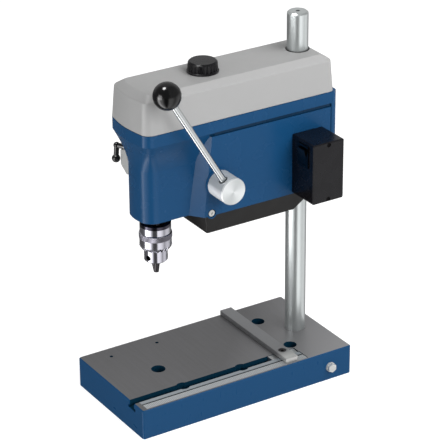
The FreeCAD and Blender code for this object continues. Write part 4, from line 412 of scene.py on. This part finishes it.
FINISHES = {
    "base_casting": bed_paint_and_painted_light, "column": column_steel, "column_clamp_bolt": zinc, "scale_rail": rail_coat_and_shade,
    "fence_bar": fence_coat_and_light, "fence_screw": dark_steel, "fence_nut": steel, "column_bush": bronze,
    "head_casting": head_paint_and_groove_shade, "under_tray": black_tray, "tray_screws": zinc, "head_clamp_bolt": zinc,
    "quill": steel, "quill_key_screw": dark_steel, "quill_bearings": steel, "pulley_bearing": steel,
    "spindle": steel, "chuck_body": chuck_coat_and_painted_light, "jaw_1": dark_steel, "jaw_2": dark_steel,
    "jaw_3": dark_steel, "chuck_nut": dark_steel, "chuck_sleeve": chrome, "spindle_pulley": turned,
    "motor_pulley": turned, "motor": motor_grey, "motor_shaft": steel, "drive_belt": rubber,
    "motor_screws": dark_steel, "feed_shaft": steel, "feed_bushes": bronze, "feed_sector": steel,
    "feed_hub": hub_coat_and_highlights, "lever_rod": bright_rod, "ball_knob": black_gloss, "spring_cup": black_satin,
    "return_spring": dark_steel, "quill_lock_screw": zinc, "quill_lock_lever": black_gloss,
    "lock_bracket": bracket_grey, "top_cover": cover_grey, "column_ring": black_satin,
    "cover_knob": black_satin, "cover_stud": steel, "switch_box": black_box, "switch_box_lid": black_box,
    "lid_screws": black_steel, "switch_frame": black_gloss, "switch_rocker": black_gloss,
    "cord_gland": black_satin,
}


def wear(node_name, paint):
    """Give a CAD node one material."""
    mesh = NODES[node_name].data
    mesh.materials.clear()
    mesh.materials.append(paint.material)


def into_scene(name, content):
    """New object in the scene."""
    made = bpy.data.objects.new(name, content)
    bpy.context.scene.collection.objects.link(made)
    return made


def knurl():
    """Band of raised diamonds round the upper part of the chuck's sleeve."""
    work = bmesh.new()

    def circle(level, reaches):
        """Corners round the spindle's axis, one for each reach."""
        corners = []
        for step, reach in enumerate(reaches):
            turn = 2 * math.pi * step / KNURL_STEPS
            place = (reach * math.cos(turn), SPINDLE_Y + reach * math.sin(turn), level)
            corners.append(work.verts.new(place))
        return corners

    low, high = KNURL_Z
    rings = []
    for row in range(KNURL_ROWS + 1):
        crests = 0 < row < KNURL_ROWS
        rings.append(circle(low + (high - low) * row / KNURL_ROWS,
                            [KNURL_CREST if crests and (row + step) % 2 else KNURL_VALLEY
                             for step in range(KNURL_STEPS)]))
    foot, head = [circle(level, [KNURL_INNER] * KNURL_STEPS) for level in KNURL_Z]
    loops = [foot, *rings, head, foot]
    for lower, upper in zip(loops, loops[1:]):
        for step in range(KNURL_STEPS):
            after = (step + 1) % KNURL_STEPS
            work.faces.new((lower[step], lower[after], upper[after], upper[step]))
    bmesh.ops.recalc_face_normals(work, faces=work.faces)
    mesh = bpy.data.meshes.new("sleeve_knurl")
    work.to_mesh(mesh)
    work.free()
    mesh.materials.append(knurled.material)
    piece = into_scene("sleeve_knurl", mesh)
    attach(piece, "chuck_sleeve")


def white_floor():
    """Floor that takes the shadow and glows, a little more for the camera."""
    mesh = bpy.data.meshes.new("floor")
    half = FLOOR_HALF
    mesh.from_pydata([(-half, -half, 0), (half, -half, 0), (half, half, 0), (-half, half, 0)], [],
                     [(0, 1, 2, 3)])
    floor = into_scene("floor", mesh)
    floor.visible_glossy = False
    material = bpy.data.materials.new("floor_white")
    graph = Graph(material)
    graph.tree.nodes.clear()
    seen = graph.node("LightPath").outputs["Is Camera Ray"]
    glow = graph.node("Emission", {"Strength": graph.ramp(seen, FLOOR_GLOW, FLOOR_GLOW_SEEN)})
    matt = graph.node("BsdfDiffuse", {"Color": FLOOR_TONE})
    both = graph.node("AddShader", {0: matt.outputs[0], 1: glow.outputs[0]})
    graph.node("OutputMaterial", {"Surface": both.outputs[0]})
    mesh.materials.append(material)


def compass(graph, turn, table):
    """Level, as a share of PEAK, that a table gives for a share of a whole turn."""
    curve = graph.node("FloatCurve", {"Value": turn})
    points = curve.mapping.curves[0].points
    for index, (degrees, level) in enumerate(table):
        place = (degrees / 360, level / PEAK)
        # A new curve already has two points.
        if index < 2:
            points[index].location = place
        else:
            points.new(*place)
    for point in points:
        point.handle_type = "VECTOR"
    curve.mapping.update()
    return curve.outputs[0]


def white_world():
    """White behind the part, even light for the part, and bands of light and dark in its metal."""
    world = bpy.data.worlds.new("studio")
    bpy.context.scene.world = world
    graph = Graph(world)
    graph.tree.nodes.clear()
    path = graph.node("LightPath").outputs
    aim = graph.node("SeparateXYZ", {0: graph.node("TexCoord").outputs["Generated"]}).outputs
    turn = graph.maths("DIVIDE", graph.maths("ARCTAN2", aim["Y"], aim["X"]), 2 * math.pi)
    turn = graph.maths("WRAP", turn, 1.0, 0.0)
    height = graph.ramp(aim["Z"], 0, 1, *HORIZON)
    bands = graph.mix(height, compass(graph, turn, BELOW), compass(graph, turn, ABOVE), "FLOAT")
    seen, lit, mirrored = [
        graph.node("Background", {"Color": WHITE, "Strength": strength}).outputs[0]
        for strength in (SKY_SEEN, SKY_LIGHT, graph.maths("MULTIPLY", bands, PEAK))]
    unseen = graph.node("MixShader", {0: path["Is Glossy Ray"], 1: lit, 2: mirrored}).outputs[0]
    shown = graph.node("MixShader", {0: path["Is Camera Ray"], 1: unseen, 2: seen}).outputs[0]
    graph.node("OutputWorld", {"Surface": shown})


def lamps():
    """Four soft lamps; which rays see a lamp depends on its job."""
    for name, shape, place, aim, width, power, diffuse, glossy in LAMPS:
        light = bpy.data.lights.new(name, "AREA")
        light.shape, light.size, light.energy = shape, width, power
        lamp = into_scene(name, light)
        lamp.location = place
        lamp.rotation_euler = (Vector(aim) - Vector(place)).to_track_quat("-Z", "Y").to_euler()
        lamp.visible_camera = False
        lamp.visible_diffuse = diffuse
        lamp.visible_glossy = glossy


def photo_camera():
    """Camera solved from the photograph."""
    camera = bpy.data.cameras.new("camera")
    camera.sensor_fit = "VERTICAL"
    camera.sensor_height = CAMERA_SENSOR
    camera.lens = CAMERA_LENS
    camera.clip_end = CAMERA_REACH
    eye = into_scene("camera", camera)
    turn = Matrix((CAMERA_RIGHT, CAMERA_UP, CAMERA_BACK)).transposed().to_4x4()
    eye.matrix_world = Matrix.Translation(CAMERA_PLACE) @ turn
    bpy.context.scene.camera = eye
    bpy.context.scene.view_settings.view_transform = "Standard"


for node_name, finish in FINISHES.items():
    wear(node_name, finish)
knurl()
white_floor()
white_world()
lamps()
photo_camera()
